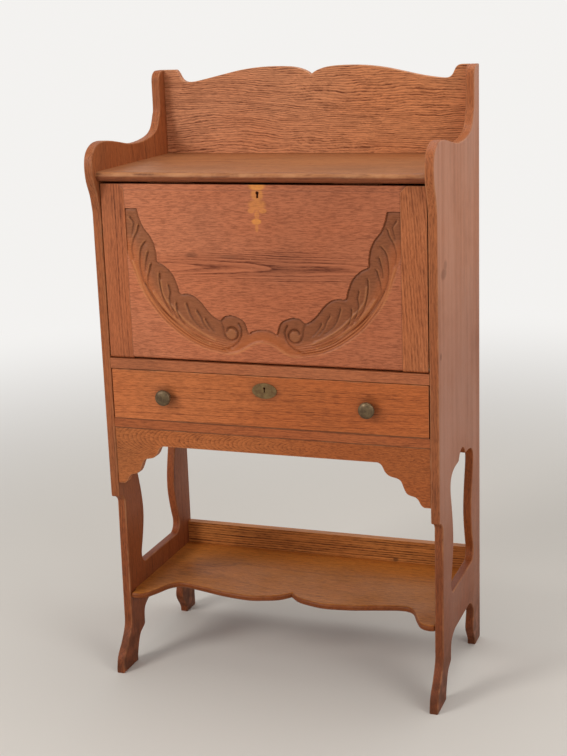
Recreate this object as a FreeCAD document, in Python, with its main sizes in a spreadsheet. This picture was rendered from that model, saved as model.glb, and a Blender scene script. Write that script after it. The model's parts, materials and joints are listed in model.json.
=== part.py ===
"""Oak fall-front writing desk: two sawn sides carry a top shelf with a gallery board, a writing
compartment behind a pivoted fall, one drawer, a scalloped apron and a lower shelf.

Millimetres. X runs across the desk, Y from front to back, Z up. The origin is the middle of the
floor rectangle that the desk stands on.
"""
import FreeCAD, Part
import math
import os
import types

SIZES = {
    # Case as a whole
    "overall_width": 700.0,
    "side_thick": 18.0,
    "side_depth": 356.0,
    "side_height": 1237.0,
    "housing_depth": 5.0,
    "joint_clearance": 0.05,
    "running_clearance": 0.06,
    "cut_overrun": 2.0,
    # Front outline of a side, from the toe up to the neck
    "foot_reach": 28.0,
    "toe_height": 110.0,
    "leg_setback": 22.0,
    "step_setback": 27.0,
    "step_drop": 175.5,
    "step_height": 31.0,
    "nose_drop": 86.0,
    "nose_reach": 23.0,
    "nose_rise": 94.0,
    "brow_depth": 56.0,
    "brow_rise": 48.0,
    "sag_depth": 18.0,
    "scotia_run": 29.0,
    "neck_height": 61.0,
    "neck_depth": 46.0,
    "neck_radius": 22.0,
    # Feet and the arch between them
    "arch_top": 119.0,
    "front_foot_length": 69.0,
    "front_knuckle_run": 44.0,
    "front_knuckle_height": 68.0,
    "front_arch_run": 40.0,
    "rear_foot_length": 46.0,
    "rear_knuckle_run": 23.0,
    "rear_knuckle_height": 50.0,
    "rear_arch_run": 37.0,
    # Piercing in each side
    "pierce_centre": 192.0,
    "pierce_half_width": 101.0,
    "pierce_base": 206.0,
    "pierce_drop": 53.5,
    # Heights of the front, stacked down from the top of the sides
    "head_height": 177.0,
    "drawer_rail_height": 20.0,
    "drawer_opening": 105.5,
    "bed_rail_height": 20.5,
    "fall_gap": 1.0,
    "fall_height": 351.5,
    "shelf_gap": 5.0,
    "shelf_thick": 19.0,
    "shelf_reach": 10.0,
    # Gallery board on the top shelf
    "gallery_thick": 18.5,
    "gallery_drop": 26.0,
    "gallery_bow": 29.0,
    # Rails, apron and boards inside the case
    "rail_depth": 50.0,
    "rail_tenon_setback": 8.0,
    "rail_tenon_inset": 4.0,
    "drawer_rail_recess": 2.0,
    "apron_recess": 3.0,
    "apron_thick": 18.0,
    "apron_depth": 35.5,
    "bracket_drop": 85.0,
    "bracket_width": 107.0,
    "glue_block_side": 20.0,
    "glue_block_length": 45.0,
    "glue_block_inset": 127.0,
    "bed_gap": 2.5,
    "cleat_width": 24.0,
    "runner_width": 30.0,
    "back_thick": 10.0,
    "back_drop": 113.5,
    "fall_stop_height": 14.0,
    "fall_stop_depth": 20.0,
    "fall_stop_length": 90.0,
    "fall_stop_inset": 142.0,
    "stop_clearance": 0.3,
    # Lower shelf and its back rail
    "lower_shelf_top": 163.0,
    "lower_shelf_thick": 12.5,
    "lower_shelf_setback": 25.0,
    "lower_shelf_hollow": 88.0,
    "lower_tongue_setback": 45.0,
    "lower_rail_height": 50.0,
    "lower_rail_thick": 18.0,
    # Fall: a board clamped between two stiles
    "fall_thick": 20.0,
    "fall_recess": 2.0,
    "fall_side_gap": 2.0,
    "stile_width": 50.0,
    "mitre_size": 12.0,
    "panel_shrink": 2.0,
    "fall_key_drop": 15.5,
    "fall_key_radius": 3.3,
    "fall_key_slot_width": 4.2,
    "fall_key_slot_length": 9.5,
    "tongue_depth": 10.0,
    "tongue_thick": 7.0,
    "tongue_end_gap": 30.0,
    "pivot_inset": 6.5,
    "pivot_radius": 3.0,
    "pivot_seat": 20.0,
    "pivot_end_gap": 3.0,
    "bush_wall": 2.5,
    "bush_length": 13.0,
    # Slotted stays that carry the open fall
    "stay_radius": 150.0,
    "stay_post_setback": 96.0,
    "stay_standoff": 9.5,
    "stay_width": 12.0,
    "stay_thick": 2.5,
    "stay_slot_clearance": 0.3,
    "stay_side_gap": 11.5,
    "stay_float": 0.5,
    "post_radius": 3.0,
    "post_collar_radius": 5.5,
    "post_head_thick": 2.0,
    "post_tail": 11.0,
    "lug_thick": 4.0,
    "lug_pin_radius": 2.5,
    "lug_plate_thick": 2.5,
    "lug_plate_length": 44.0,
    "lug_plate_width": 22.0,
    # Locks
    "lock_width": 60.0,
    "lock_height": 40.0,
    "lock_depth": 12.0,
    "bolt_width": 24.0,
    "bolt_height": 18.0,
    "bolt_thick": 6.0,
    "bolt_clearance": 0.3,
    "bolt_throw": 10.0,
    "lock_wall": 2.0,
    "strike_length": 56.0,
    "strike_width": 16.0,
    "strike_thick": 1.6,
    # Drawer
    "drawer_front_thick": 20.0,
    "drawer_front_recess": 1.0,
    "drawer_side_gap": 2.0,
    "drawer_key_drop": 23.5,
    "drawer_key_radius": 2.6,
    "drawer_key_slot_width": 2.6,
    "drawer_key_slot_length": 8.0,
    "drawer_top_gap": 1.5,
    "drawer_floor_gap": 0.2,
    "drawer_side_thick": 12.0,
    "drawer_side_inset": 0.8,
    "drawer_side_height": 92.0,
    "drawer_back_gap": 14.0,
    "drawer_bottom_thick": 6.0,
    "drawer_bottom_lift": 9.0,
    "drawer_groove_depth": 6.0,
    "drawer_stop_height": 6.0,
    "drawer_stop_depth": 12.0,
    "drawer_stop_length": 50.0,
    "knob_inset": 120.0,
    "knob_height": 53.0,
    "knob_radius": 16.3,
    "knob_projection": 24.0,
    "knob_bolt_radius": 2.2,
    "knob_bolt_head_radius": 5.0,
    "knob_bolt_head_thick": 2.5,
    "knob_bolt_bite": 11.0,
    "plate_half_width": 25.5,
    "plate_half_height": 15.5,
    "plate_thick": 1.6,
    "plate_key_rise": 5.0,
    "plate_pin_inset": 5.0,
    "plate_pin_length": 7.5,
    # Pigeonholes
    "pigeon_side_gap": 36.0,
    "pigeon_board": 8.0,
    "pigeon_depth": 170.0,
    "pigeon_height": 205.0,
    # Small screws and nails
    "screw_radius": 1.6,
    "screw_head_radius": 3.2,
    "screw_head_height": 1.6,
    "screw_length": 11.0,
    "gallery_screw_radius": 2.2,
    "gallery_screw_head_radius": 4.2,
    "gallery_screw_head_height": 2.6,
    "gallery_screw_bite": 22.0,
    "gallery_screw_inset": 92.0,
    "nail_radius": 1.1,
    "nail_head_radius": 2.4,
    "nail_head_height": 1.2,
    "nail_length": 28.0,
    "nail_inset": 52.0,
}

# Sawn outlines, each as shares of the two sizes that its stretch spans.
TOE_SHARES = [(0, 0), (0.04, 0.155), (0.18, 0.33), (0.48, 0.48), (0.72, 0.62), (0.9, 0.755), (1, 1)]
STEP_SHARES = [(0, 0), (0.02, 0.24), (0.33, 0.56), (0.7, 0.75), (1, 1)]
NOSE_SHARES = [(0, 0), (0.12, 0.2), (0.3, 0.4), (0.76, 0.66), (0.96, 0.86), (1, 1)]
BROW_SHARES = [(0.02, 0.25), (0.1, 0.52), (0.3, 0.77), (0.61, 0.94), (1, 1)]
SAG_SHARES = [(0.085, 0.06), (0.26, 0.39), (0.444, 0.83), (0.59, 1), (0.73, 0.95), (0.89, 0.67), (1, 0.17)]
SCOTIA_SHARES = [(0.48, 0.2), (0.83, 0.52), (1, 1)]
REAR_TOE_SHARES = [(0, 0), (0.04, 0.2), (0.65, 0.62), (1, 1)]
REAR_ARCH_SHARES = [(0, 0), (-0.12, 0.23), (-0.24, 0.47), (0.03, 0.7), (0.4, 0.88), (1, 1)]
FRONT_ARCH_SHARES = [(0, 1), (0.6, 0.86), (0.875, 0.68), (0.975, 0.35), (1, 0)]
FRONT_TOE_SHARES = [(0, 1), (0.14, 0.93), (0.5, 0.82), (0.73, 0.6), (0.91, 0.31), (1, 0)]
PIERCE_SIDE_SHARES = [(0.82, 0), (0.95, 0.025), (1, 0.08), (0.95, 0.15), (0.86, 0.26), (0.8, 0.38),
                      (0.805, 0.47), (0.86, 0.59), (0.95, 0.715), (1, 0.8), (0.97, 0.86), (0.76, 0.912),
                      (0.52, 0.924), (0.3, 0.928)]
PIERCE_LOBE_SHARES = [(0.3, 0.928), (0.21, 0.967), (0.1, 0.993), (0, 1)]
CROWN_SHARES = [(0, 0.345), (0.015, 0.52), (0.048, 0.72), (0.1, 0.9), (0.18, 0.99), (0.28, 1), (0.47, 0.8),
                (0.61, 0.46), (0.72, 0.19)]
LEFT_HORN_SHARES = [(0.82, 0), (0.855, 0.03), (0.877, 0.17), (0.9, 0.59), (0.922, 0.9)]
RIGHT_HORN_SHARES = [(0.82, 0.02), (0.862, 0), (0.886, 0.08), (0.903, 0.26), (0.913, 0.48), (0.923, 0.7),
                     (0.936, 0.84), (0.955, 0.9)]
BRACKET_SHARES = [(0.1, 0), (0.16, 0.025), (0.2, 0.085), (0.24, 0.18), (0.295, 0.235), (0.37, 0.26),
                  (0.44, 0.3), (0.49, 0.4), (0.525, 0.51), (0.56, 0.6), (0.62, 0.65), (0.71, 0.675),
                  (0.785, 0.71), (0.84, 0.77), (0.88, 0.86), (0.915, 0.945), (0.965, 0.99), (1, 1)]
SHELF_FRONT_SHARES = [(1, 0.02), (0.945, 0), (0.905, 0.08), (0.876, 0.25), (0.846, 0.49), (0.816, 0.74),
                      (0.777, 0.88), (0.73, 0.91), (0.65, 0.85), (0.557, 0.76), (0.45, 0.65), (0.33, 0.575),
                      (0.235, 0.56), (0.15, 0.635), (0.066, 0.76), (0.015, 0.93), (0, 1)]
# Turned knob: radius as a share of the knob's radius, then reach as a share of its projection.
KNOB_SHARES = [(0.56, 0), (0.6, 0.06), (0.5, 0.13), (0.42, 0.28), (0.46, 0.44), (0.74, 0.52), (0.96, 0.6),
               (1, 0.72), (0.93, 0.84), (0.66, 0.95), (0.3, 0.992), (0, 1)]
# Heads of screws, bolts and pins as shares of the radius that each is measured from.
SCREW_TOP_SHARE = 0.6
SCREW_EDGE_SHARE = 1.6
BOLT_TOP_SHARE = 0.7
PIN_CAP_SHARE = 1.8
# Heights of the lock's screws below its top, and places of the nails in the bed's row.
LOCK_SCREW_SHARES = [0.25, 0.8]
NAIL_SHARES = [-1, -0.5, 0, 0.5, 1]
# Point of a quarter round at half its turn, as a share of its radius from the square corner.
TURN_SHARE = 1 - math.sqrt(0.5)
# Pigeonholes side by side.
PIGEONHOLES = 5


class Size:
    """A length in millimetres, kept together with the sheet formula that gives it."""

    def __init__(self, value, formula):
        self.value = float(value)
        self.formula = formula

    def __add__(self, other):
        return Size(self.value + other.value, f"({self.formula} + {other.formula})")

    def __sub__(self, other):
        return Size(self.value - other.value, f"({self.formula} - {other.formula})")

    def __mul__(self, factor):
        return Size(self.value * factor, f"({self.formula} * {factor})")

    def __truediv__(self, factor):
        return Size(self.value / factor, f"({self.formula} / {factor})")

    def __neg__(self):
        return Size(-self.value, f"(-1 * {self.formula})")

    def leg_of(self, other_leg):
        """Second leg of the right triangle whose longest side this is."""
        length = math.sqrt(self.value ** 2 - other_leg.value ** 2)
        return Size(length, f"sqrt({self.formula} ^ 2 - {other_leg.formula} ^ 2)")


doc = FreeCAD.newDocument("writing_desk")
sheet = doc.addObject("Spreadsheet::Sheet", "Sizes")
for row, (alias, value) in enumerate(SIZES.items(), 1):
    sheet.set(f"A{row}", alias.replace("_", " "))
    sheet.set(f"B{row}", str(value))
    sheet.setAlias(f"B{row}", alias)
doc.recompute()

s = types.SimpleNamespace(**{alias: Size(value, f"Sizes.{alias}") for alias, value in SIZES.items()})
zero = Size(0, "0")
nodes = []

# Planes of the case that most pieces are set from.
front = (s.foot_reach - s.side_depth) / 2
back = front + s.side_depth
half_width = s.overall_width / 2
inner = half_width - s.side_thick
housed = inner + s.housing_depth
shelf_top = s.side_height - s.head_height
shelf_base = shelf_top - s.shelf_thick
fall_top = shelf_base - s.shelf_gap
fall_base = fall_top - s.fall_height
bed_base = fall_base - s.fall_gap
drawer_roof = bed_base - s.bed_rail_height
drawer_floor = drawer_roof - s.drawer_opening
apron_top = drawer_floor - s.drawer_rail_height
fall_front = front + s.fall_recess
fall_back = fall_front + s.fall_thick
pivot_y = fall_front + s.pivot_inset
pivot_z = fall_base + s.pivot_inset
bed_top = pivot_z + (fall_back - pivot_y)
bed_front = fall_back + s.bed_gap
back_face = back - s.back_thick
lower_shelf_base = s.lower_shelf_top - s.lower_shelf_thick
nose_base = shelf_top - s.nose_drop


def bind(piece, **sizes):
    """Tie properties of a piece to sheet formulas; x, y and z stand for its place."""
    places = {"x": "Placement.Base.x", "y": "Placement.Base.y", "z": "Placement.Base.z"}
    for name, size in sizes.items():
        piece.setExpression(places.get(name, name), size.formula)
    return piece


def box(name, x_span, y_span, z_span):
    """Block between two planes each way."""
    piece = doc.addObject("Part::Box", name)
    return bind(piece, Length=x_span[1] - x_span[0], Width=y_span[1] - y_span[0],
                Height=z_span[1] - z_span[0], x=x_span[0], y=y_span[0], z=z_span[0])


def beside(sign, near, far):
    """Span from near to far across the desk, on the right for +1 and on the left for -1."""
    return (near, far) if sign > 0 else (-far, -near)


TURNS = {
    "x": FreeCAD.Rotation(FreeCAD.Vector(0, 1, 0), 90),
    "-x": FreeCAD.Rotation(FreeCAD.Vector(0, 1, 0), -90),
    "y": FreeCAD.Rotation(FreeCAD.Vector(1, 0, 0), -90),
    "-y": FreeCAD.Rotation(FreeCAD.Vector(1, 0, 0), 90),
    "z": FreeCAD.Rotation(),
    "-z": FreeCAD.Rotation(FreeCAD.Vector(1, 0, 0), 180),
}


def rod(name, radius, length, place, heading):
    """Cylinder that starts at a place and runs along one heading."""
    piece = doc.addObject("Part::Cylinder", name)
    piece.Placement = FreeCAD.Placement(FreeCAD.Vector(), TURNS[heading])
    return bind(piece, Radius=radius, Height=length, x=place[0], y=place[1], z=place[2])


def taper(name, radius, end_radius, length, place, heading):
    """Truncated cone that starts at a place and runs along one heading."""
    piece = doc.addObject("Part::Cone", name)
    piece.Placement = FreeCAD.Placement(FreeCAD.Vector(), TURNS[heading])
    return bind(piece, Radius1=radius, Radius2=end_radius, Height=length, x=place[0], y=place[1], z=place[2])


def fuse(name, pieces):
    joined = doc.addObject("Part::MultiFuse", name)
    joined.Shapes = pieces
    joined.Refine = True
    return joined


def cut(name, base, tools):
    """Base with every tool taken out of it."""
    piece = doc.addObject("Part::Cut", name)
    piece.Base = base
    piece.Tool = tools[0] if len(tools) == 1 else fuse(f"{name}_cuts", tools)
    return piece


def group(name, pieces):
    """Separate solids that share one node."""
    bundle = doc.addObject("Part::Compound", name)
    bundle.Links = pieces
    return bundle


def node(name, piece):
    piece.Label = name
    nodes.append(piece)
    return piece


def point(across, up):
    return FreeCAD.Vector(across, up, 0)


def stretch(shares, start, span):
    """Points of a sawn stretch: its shares of a span, laid off from its start."""
    return [point(start[0].value + share_a * span[0].value, start[1].value + share_b * span[1].value)
            for share_a, share_b in shares]


def spline(points, start_heading=None, end_heading=None):
    curve = Part.BSplineCurve()
    if start_heading is None:
        curve.interpolate(Points=points)
    else:
        curve.interpolate(Points=points, InitialTangent=start_heading, FinalTangent=end_heading)
    return curve


def line(start, end):
    return Part.LineSegment(start, end)


def polygon(corners):
    return [line(corner, corners[(index + 1) % len(corners)]) for index, corner in enumerate(corners)]


def mirrored(points):
    """The same points on the other side of the desk's middle, in reverse order."""
    return [point(-place.x, place.y) for place in reversed(points)]


def sketch_in(body, role, curves):
    sketch = body.newObject("Sketcher::SketchObject", f"{body.Name}_outline")
    plane = [feature for feature in body.Origin.OriginFeatures if feature.Role == role][0]
    sketch.AttachmentSupport = (plane, [""])
    sketch.MapMode = "FlatFace"
    for curve in curves:
        sketch.addGeometry(curve, False)
    return sketch


def sawn(name, role, curves, thick, **place):
    """Board whose outline is drawn on one plane and padded to its thickness."""
    body = doc.addObject("PartDesign::Body", name)
    pad = body.newObject("PartDesign::Pad", f"{name}_pad")
    pad.Profile = sketch_in(body, role, curves)
    pad.setExpression("Length", thick.formula)
    return bind(body, **place)


def turned(name, profile, **place):
    """Solid turned about the Y axis from a profile of radius and reach."""
    body = doc.addObject("PartDesign::Body", name)
    sketch = sketch_in(body, "XY_Plane", profile)
    spin = body.newObject("PartDesign::Revolution", f"{name}_turning")
    spin.Profile = sketch
    spin.ReferenceAxis = (sketch, ["V_Axis"])
    spin.Angle = 360
    return bind(body, **place)


def screws(name, places, heading, length):
    """Pan-headed screws, each with its head standing on the named place."""
    opposite = heading[1:] if heading.startswith("-") else f"-{heading}"
    pieces = []
    for index, place in enumerate(places):
        shank = rod(f"{name}_shank_{index}", s.screw_radius, length, place, heading)
        head = taper(f"{name}_head_{index}", s.screw_head_radius, s.screw_head_radius * SCREW_TOP_SHARE,
                     s.screw_head_height, place, opposite)
        pieces.append(fuse(f"{name}_{index}", [shank, head]))
    return node(name, group(name, pieces))


def screw_holes(name, places, heading, length):
    radius = s.screw_radius + s.joint_clearance
    return [rod(f"{name}_hole_{index}", radius, length + s.joint_clearance, place, heading)
            for index, place in enumerate(places)]


def keyhole(name, key, y_span):
    """Round hole with a slot below it, between two planes of a front."""
    eye = rod(f"{name}_eye", key.radius, y_span[1] - y_span[0], (zero, y_span[0], key.z), "y")
    slot = box(f"{name}_slot", (-key.slot_width / 2, key.slot_width / 2), y_span,
               (key.z - key.slot_length, key.z))
    return fuse(f"{name}_key", [eye, slot])


# Places that several pieces share.
fall_half = inner - s.fall_side_gap
panel_half = fall_half - s.stile_width
post_y = pivot_y + s.stay_post_setback
post_z = pivot_z + s.stay_radius.leg_of(s.stay_post_setback)
lug_back = fall_back - pivot_y + s.stay_standoff
lug_y = pivot_y + lug_back
lug_z = pivot_z + s.stay_radius.leg_of(lug_back)
stay_outer = inner - s.stay_side_gap
stay_inner = stay_outer - s.stay_thick
lug_outer = stay_inner - s.stay_float
lug_inner = lug_outer - s.lug_thick
fall_key = types.SimpleNamespace(z=fall_top - s.fall_key_drop, radius=s.fall_key_radius,
                                 slot_width=s.fall_key_slot_width, slot_length=s.fall_key_slot_length)
drawer_front_face = front + s.drawer_front_recess
drawer_front_back = drawer_front_face + s.drawer_front_thick
drawer_front_base = drawer_floor + s.drawer_floor_gap
drawer_front_top = drawer_roof - s.drawer_top_gap
drawer_key = types.SimpleNamespace(z=drawer_front_top - s.drawer_key_drop, radius=s.drawer_key_radius,
                                   slot_width=s.drawer_key_slot_width, slot_length=s.drawer_key_slot_length)
knob_x = inner - s.knob_inset
knob_z = drawer_floor + s.knob_height


def side_outline():
    """Closed outline of a side: toe, step, nose, sagging shoulder, neck, straight back, two feet."""
    up = point(0, 1)
    neck_front = back - s.neck_depth
    crest_y = front - s.nose_reach + s.brow_depth
    crest_z = nose_base + s.nose_rise + s.brow_rise
    sag_run = neck_front - s.scotia_run - crest_y
    toe = stretch(TOE_SHARES, (front - s.foot_reach, zero), (s.foot_reach + s.leg_setback, s.toe_height))
    step = stretch(STEP_SHARES, (front + s.step_setback, apron_top - s.step_drop),
                   (-s.step_setback, s.step_height))
    sweep = stretch(NOSE_SHARES, (front, nose_base), (-s.nose_reach, s.nose_rise))
    sweep += stretch(BROW_SHARES, (front - s.nose_reach, nose_base + s.nose_rise),
                     (s.brow_depth, s.brow_rise))
    sweep += stretch(SAG_SHARES, (crest_y, crest_z), (sag_run, -s.sag_depth))
    scotia_z = crest_z - s.sag_depth * SAG_SHARES[-1][1]
    neck_base = s.side_height - s.neck_height
    sweep += stretch(SCOTIA_SHARES, (crest_y + sag_run, scotia_z), (s.scotia_run, neck_base - scotia_z))
    neck_top = s.side_height - s.neck_radius
    neck_start = point(neck_front.value, neck_top.value)
    neck_middle = point((neck_front + s.neck_radius * TURN_SHARE).value,
                        (s.side_height - s.neck_radius * TURN_SHARE).value)
    neck_end = point((neck_front + s.neck_radius).value, s.side_height.value)
    rear_toe_y = back - s.rear_foot_length
    knuckle_y = rear_toe_y - s.rear_knuckle_run
    rear_toe = stretch(REAR_TOE_SHARES, (rear_toe_y, zero), (-s.rear_knuckle_run, s.rear_knuckle_height))
    rear_arch = stretch(REAR_ARCH_SHARES, (knuckle_y, s.rear_knuckle_height),
                        (-s.rear_arch_run, s.arch_top - s.rear_knuckle_height))
    front_heel = front - s.foot_reach + s.front_foot_length
    front_knuckle = front_heel + s.front_knuckle_run
    front_arch = stretch(FRONT_ARCH_SHARES, (front_knuckle + s.front_arch_run, s.front_knuckle_height),
                         (-s.front_arch_run, s.arch_top - s.front_knuckle_height))
    front_toe = stretch(FRONT_TOE_SHARES, (front_knuckle, zero),
                        (-s.front_knuckle_run, s.front_knuckle_height))
    top_back = point(back.value, s.side_height.value)
    heel = point(back.value, 0)
    return [spline(toe), line(toe[-1], step[0]), spline(step, up, up), line(step[-1], sweep[0]),
            spline(sweep, up, up), line(sweep[-1], neck_start), Part.Arc(neck_start, neck_middle, neck_end),
            line(neck_end, top_back), line(top_back, heel), line(heel, rear_toe[0]), spline(rear_toe),
            spline(rear_arch), line(rear_arch[-1], front_arch[0]), spline(front_arch), spline(front_toe),
            line(front_toe[-1], toe[0])]


def pierce_outline():
    """Waisted opening of a side: flat base, drawn-in flanks, two shoulders and a middle lobe."""
    middle = front + s.pierce_centre
    height = apron_top - s.pierce_drop - s.pierce_base
    rear, rear_lobe, fore, fore_lobe = [
        stretch(shares, (middle, s.pierce_base), (half, height))
        for half in (s.pierce_half_width, -s.pierce_half_width)
        for shares in (PIERCE_SIDE_SHARES, PIERCE_LOBE_SHARES)]
    lobe = rear_lobe + fore_lobe[-2::-1]
    return [line(fore[0], rear[0]), spline(rear), spline(lobe), spline(fore)]


def side(name, sign):
    """Side board with housings for the shelves and rails, and holes for the pivot bush and stay post."""
    board = sawn(f"{name}_board", "YZ_Plane", side_outline() + pierce_outline(), s.side_thick,
                 x=inner if sign > 0 else -half_width)
    across = beside(sign, inner - s.cut_overrun, housed)
    tenon_y = (front + s.rail_tenon_setback, front + s.rail_depth)
    tools = [
        box(f"{name}_shelf_housing", across, (front, back + s.cut_overrun), (shelf_base, shelf_top)),
        box(f"{name}_bed_housing", across, (bed_front, back_face), (bed_base, bed_top)),
        box(f"{name}_lower_housing", across, (front + s.lower_tongue_setback, back + s.cut_overrun),
            (lower_shelf_base, s.lower_shelf_top)),
        box(f"{name}_bed_rail_mortise", across, tenon_y,
            (drawer_roof + s.rail_tenon_inset, bed_base - s.rail_tenon_inset)),
        box(f"{name}_drawer_rail_mortise", across, tenon_y,
            (apron_top + s.rail_tenon_inset, drawer_floor - s.rail_tenon_inset)),
        rod(f"{name}_bush_hole", s.pivot_radius + s.bush_wall + s.joint_clearance,
            s.bush_length + s.cut_overrun, ((inner - s.cut_overrun) * sign, pivot_y, pivot_z),
            "x" if sign > 0 else "-x"),
        rod(f"{name}_post_hole", s.post_radius + s.joint_clearance, s.post_tail + s.cut_overrun,
            ((inner - s.cut_overrun) * sign, post_y, post_z), "x" if sign > 0 else "-x"),
    ]
    return node(name, cut(name, board, tools))


def gallery_screw_places():
    """Feet of the screws that hold the gallery board, on the underside of the top shelf."""
    spread = inner - s.gallery_screw_inset
    return [(spread * step, back - s.gallery_thick / 2, shelf_base) for step in (-1, 0, 1)]


def gallery_screw_tools(name, clearance):
    """Screw heads let into the shelf's underside with their shanks, grown by a clearance."""
    pieces = []
    for index, place in enumerate(gallery_screw_places()):
        head = taper(f"{name}_head_{index}", s.gallery_screw_head_radius + clearance,
                     s.gallery_screw_radius + clearance, s.gallery_screw_head_height, place, "z")
        shank = rod(f"{name}_shank_{index}", s.gallery_screw_radius + clearance,
                    s.shelf_thick + s.gallery_screw_bite + clearance, place, "z")
        pieces.append(fuse(f"{name}_{index}", [head, shank]))
    return pieces


def strike_screw_places():
    across = s.strike_length / 2 - s.screw_head_radius * SCREW_EDGE_SHARE
    lock_y = fall_back - s.lock_depth / 2
    return [(across * sign, lock_y, shelf_base) for sign in (-1, 1)]


def top_shelf():
    """Shelf with a round nose, tongues in the sides and a recess for the strike plate."""
    radius = s.shelf_thick / 2
    nose_y = front - s.shelf_reach
    nose = [point((nose_y + radius).value, shelf_base.value),
            point(nose_y.value, (shelf_base + radius).value),
            point((nose_y + radius).value, shelf_top.value)]
    rear_top = point(back.value, shelf_top.value)
    rear_base = point(back.value, shelf_base.value)
    curves = [Part.Arc(*nose), line(nose[2], rear_top), line(rear_top, rear_base), line(rear_base, nose[0])]
    board = sawn("top_shelf_board", "YZ_Plane", curves, inner * 2, x=-inner)
    tongues = box("top_shelf_tongues", (-housed, housed), (front, back), (shelf_base, shelf_top))
    lock_y = fall_back - s.lock_depth / 2
    plate = box("shelf_plate_recess", (-s.strike_length / 2, s.strike_length / 2),
                (lock_y - s.strike_width / 2, lock_y + s.strike_width / 2),
                (shelf_base - s.cut_overrun, shelf_base + s.strike_thick))
    mortise = bolt_mortise("shelf", lock_y, shelf_base)
    tools = [plate, mortise] + gallery_screw_tools("shelf_screw_hole", s.joint_clearance)
    tools += screw_holes("shelf_strike_screw", strike_screw_places(), "z", s.screw_length)
    return node("top_shelf", cut("top_shelf", fuse("top_shelf_blank", [board, tongues]), tools))


def bolt_mortise(name, y_centre, z_face):
    """Slot above a bolt, as deep as the bolt's throw."""
    across = s.bolt_width / 2 + s.bolt_clearance * 2
    along = s.bolt_thick / 2 + s.bolt_clearance * 2
    return box(f"{name}_bolt_mortise", (-across, across), (y_centre - along, y_centre + along),
               (z_face - s.cut_overrun, z_face + s.bolt_throw + s.bolt_clearance))


def gallery_board():
    """Back board over the top shelf: a bowed crown with a middle cusp and a raised horn at each end."""
    low = s.side_height - s.gallery_drop
    right = stretch(CROWN_SHARES + RIGHT_HORN_SHARES, (zero, low), (inner, s.gallery_bow))
    left = mirrored(stretch(CROWN_SHARES + LEFT_HORN_SHARES, (zero, low), (inner, s.gallery_bow)))
    horn_z = right[-1].y
    corner = point(inner.value, horn_z)
    foot = point(inner.value, shelf_top.value)
    curves = [spline(right), line(right[-1], corner), line(corner, foot), line(foot, point(-foot.x, foot.y)),
              line(point(-foot.x, foot.y), point(-corner.x, corner.y)),
              line(point(-corner.x, corner.y), left[0]), spline(left)]
    board = sawn("gallery_blank", "XZ_Plane", curves, s.gallery_thick, y=back)
    return node("gallery_board", cut("gallery_board", board,
                                     gallery_screw_tools("gallery_screw_hole", s.joint_clearance)))


def rail(name, y_start, z_base, height, tools):
    """Front rail with a tenon in each side."""
    beam = box(f"{name}_beam", (-inner, inner), (y_start, front + s.rail_depth), (z_base, z_base + height))
    tenons = box(f"{name}_tenons", (-housed, housed), (front + s.rail_tenon_setback, front + s.rail_depth),
                 (z_base + s.rail_tenon_inset, z_base + height - s.rail_tenon_inset))
    blank = fuse(f"{name}_blank", [beam, tenons])
    return node(name, cut(name, blank, tools) if tools else blank)


def writing_bed():
    """Floor of the writing compartment, level with the fall when that is open."""
    board = box("writing_bed_board", (-housed, housed), (bed_front, back_face), (bed_base, bed_top))
    holes = [rod(f"bed_nail_hole_{index}", s.nail_radius + s.joint_clearance, s.nail_length, place, "-y")
             for index, place in enumerate(nail_places()[:len(NAIL_SHARES)])]
    return node("writing_bed", cut("writing_bed", board, holes))


def nail_places():
    """Heads of the nails in the back: a row into the bed, then a row into the drawer kickers."""
    spread = inner - s.nail_inset
    bed_row = [(spread * share, back, bed_base + (bed_top - bed_base) / 2) for share in NAIL_SHARES]
    cleat_x = inner - s.cleat_width / 2
    cleat_row = [(cleat_x * sign, back, drawer_roof + s.bed_rail_height / 2) for sign in (-1, 1)]
    return bed_row + cleat_row


def nail_tools(name, clearance):
    pieces = []
    for index, place in enumerate(nail_places()):
        head = rod(f"{name}_head_{index}", s.nail_head_radius + clearance, s.nail_head_height, place, "-y")
        shank = rod(f"{name}_shank_{index}", s.nail_radius + clearance, s.nail_length, place, "-y")
        pieces.append(fuse(f"{name}_{index}", [head, shank]))
    return pieces


def case_back():
    panel = box("back_board", (-inner, inner), (back_face, back), (apron_top - s.back_drop, shelf_base))
    node("back_panel", cut("back_panel", panel, nail_tools("back_nail_hole", s.joint_clearance)))
    node("back_nails", group("back_nails", nail_tools("back_nail", zero)))


def drawer_bearers():
    """Kickers over the drawer that also carry the bed, runners under it, and two stops."""
    rear = (front + s.rail_depth, back_face)
    for name, sign in (("left", -1), ("right", 1)):
        kicker = box(f"kicker_{name}_bar", beside(sign, inner - s.cleat_width, inner), rear,
                     (drawer_roof, bed_base))
        nail_row = nail_places()[len(NAIL_SHARES):]
        place = nail_row[0] if sign < 0 else nail_row[1]
        hole = rod(f"kicker_{name}_hole", s.nail_radius + s.joint_clearance, s.nail_length, place, "-y")
        node(f"drawer_kicker_{name}", cut(f"drawer_kicker_{name}", kicker, [hole]))
        node(f"drawer_runner_{name}", box(f"runner_{name}", beside(sign, inner - s.runner_width, inner), rear,
                                          (apron_top, drawer_floor)))
    stop_y = drawer_front_back + s.stop_clearance
    stops = [box(f"drawer_stop_{index}", beside(sign, knob_x - s.drawer_stop_length, knob_x),
                 (stop_y, stop_y + s.drawer_stop_depth), (drawer_floor, drawer_floor + s.drawer_stop_height))
             for index, sign in enumerate((-1, 1))]
    node("drawer_stops", group("drawer_stops", stops))


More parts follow.
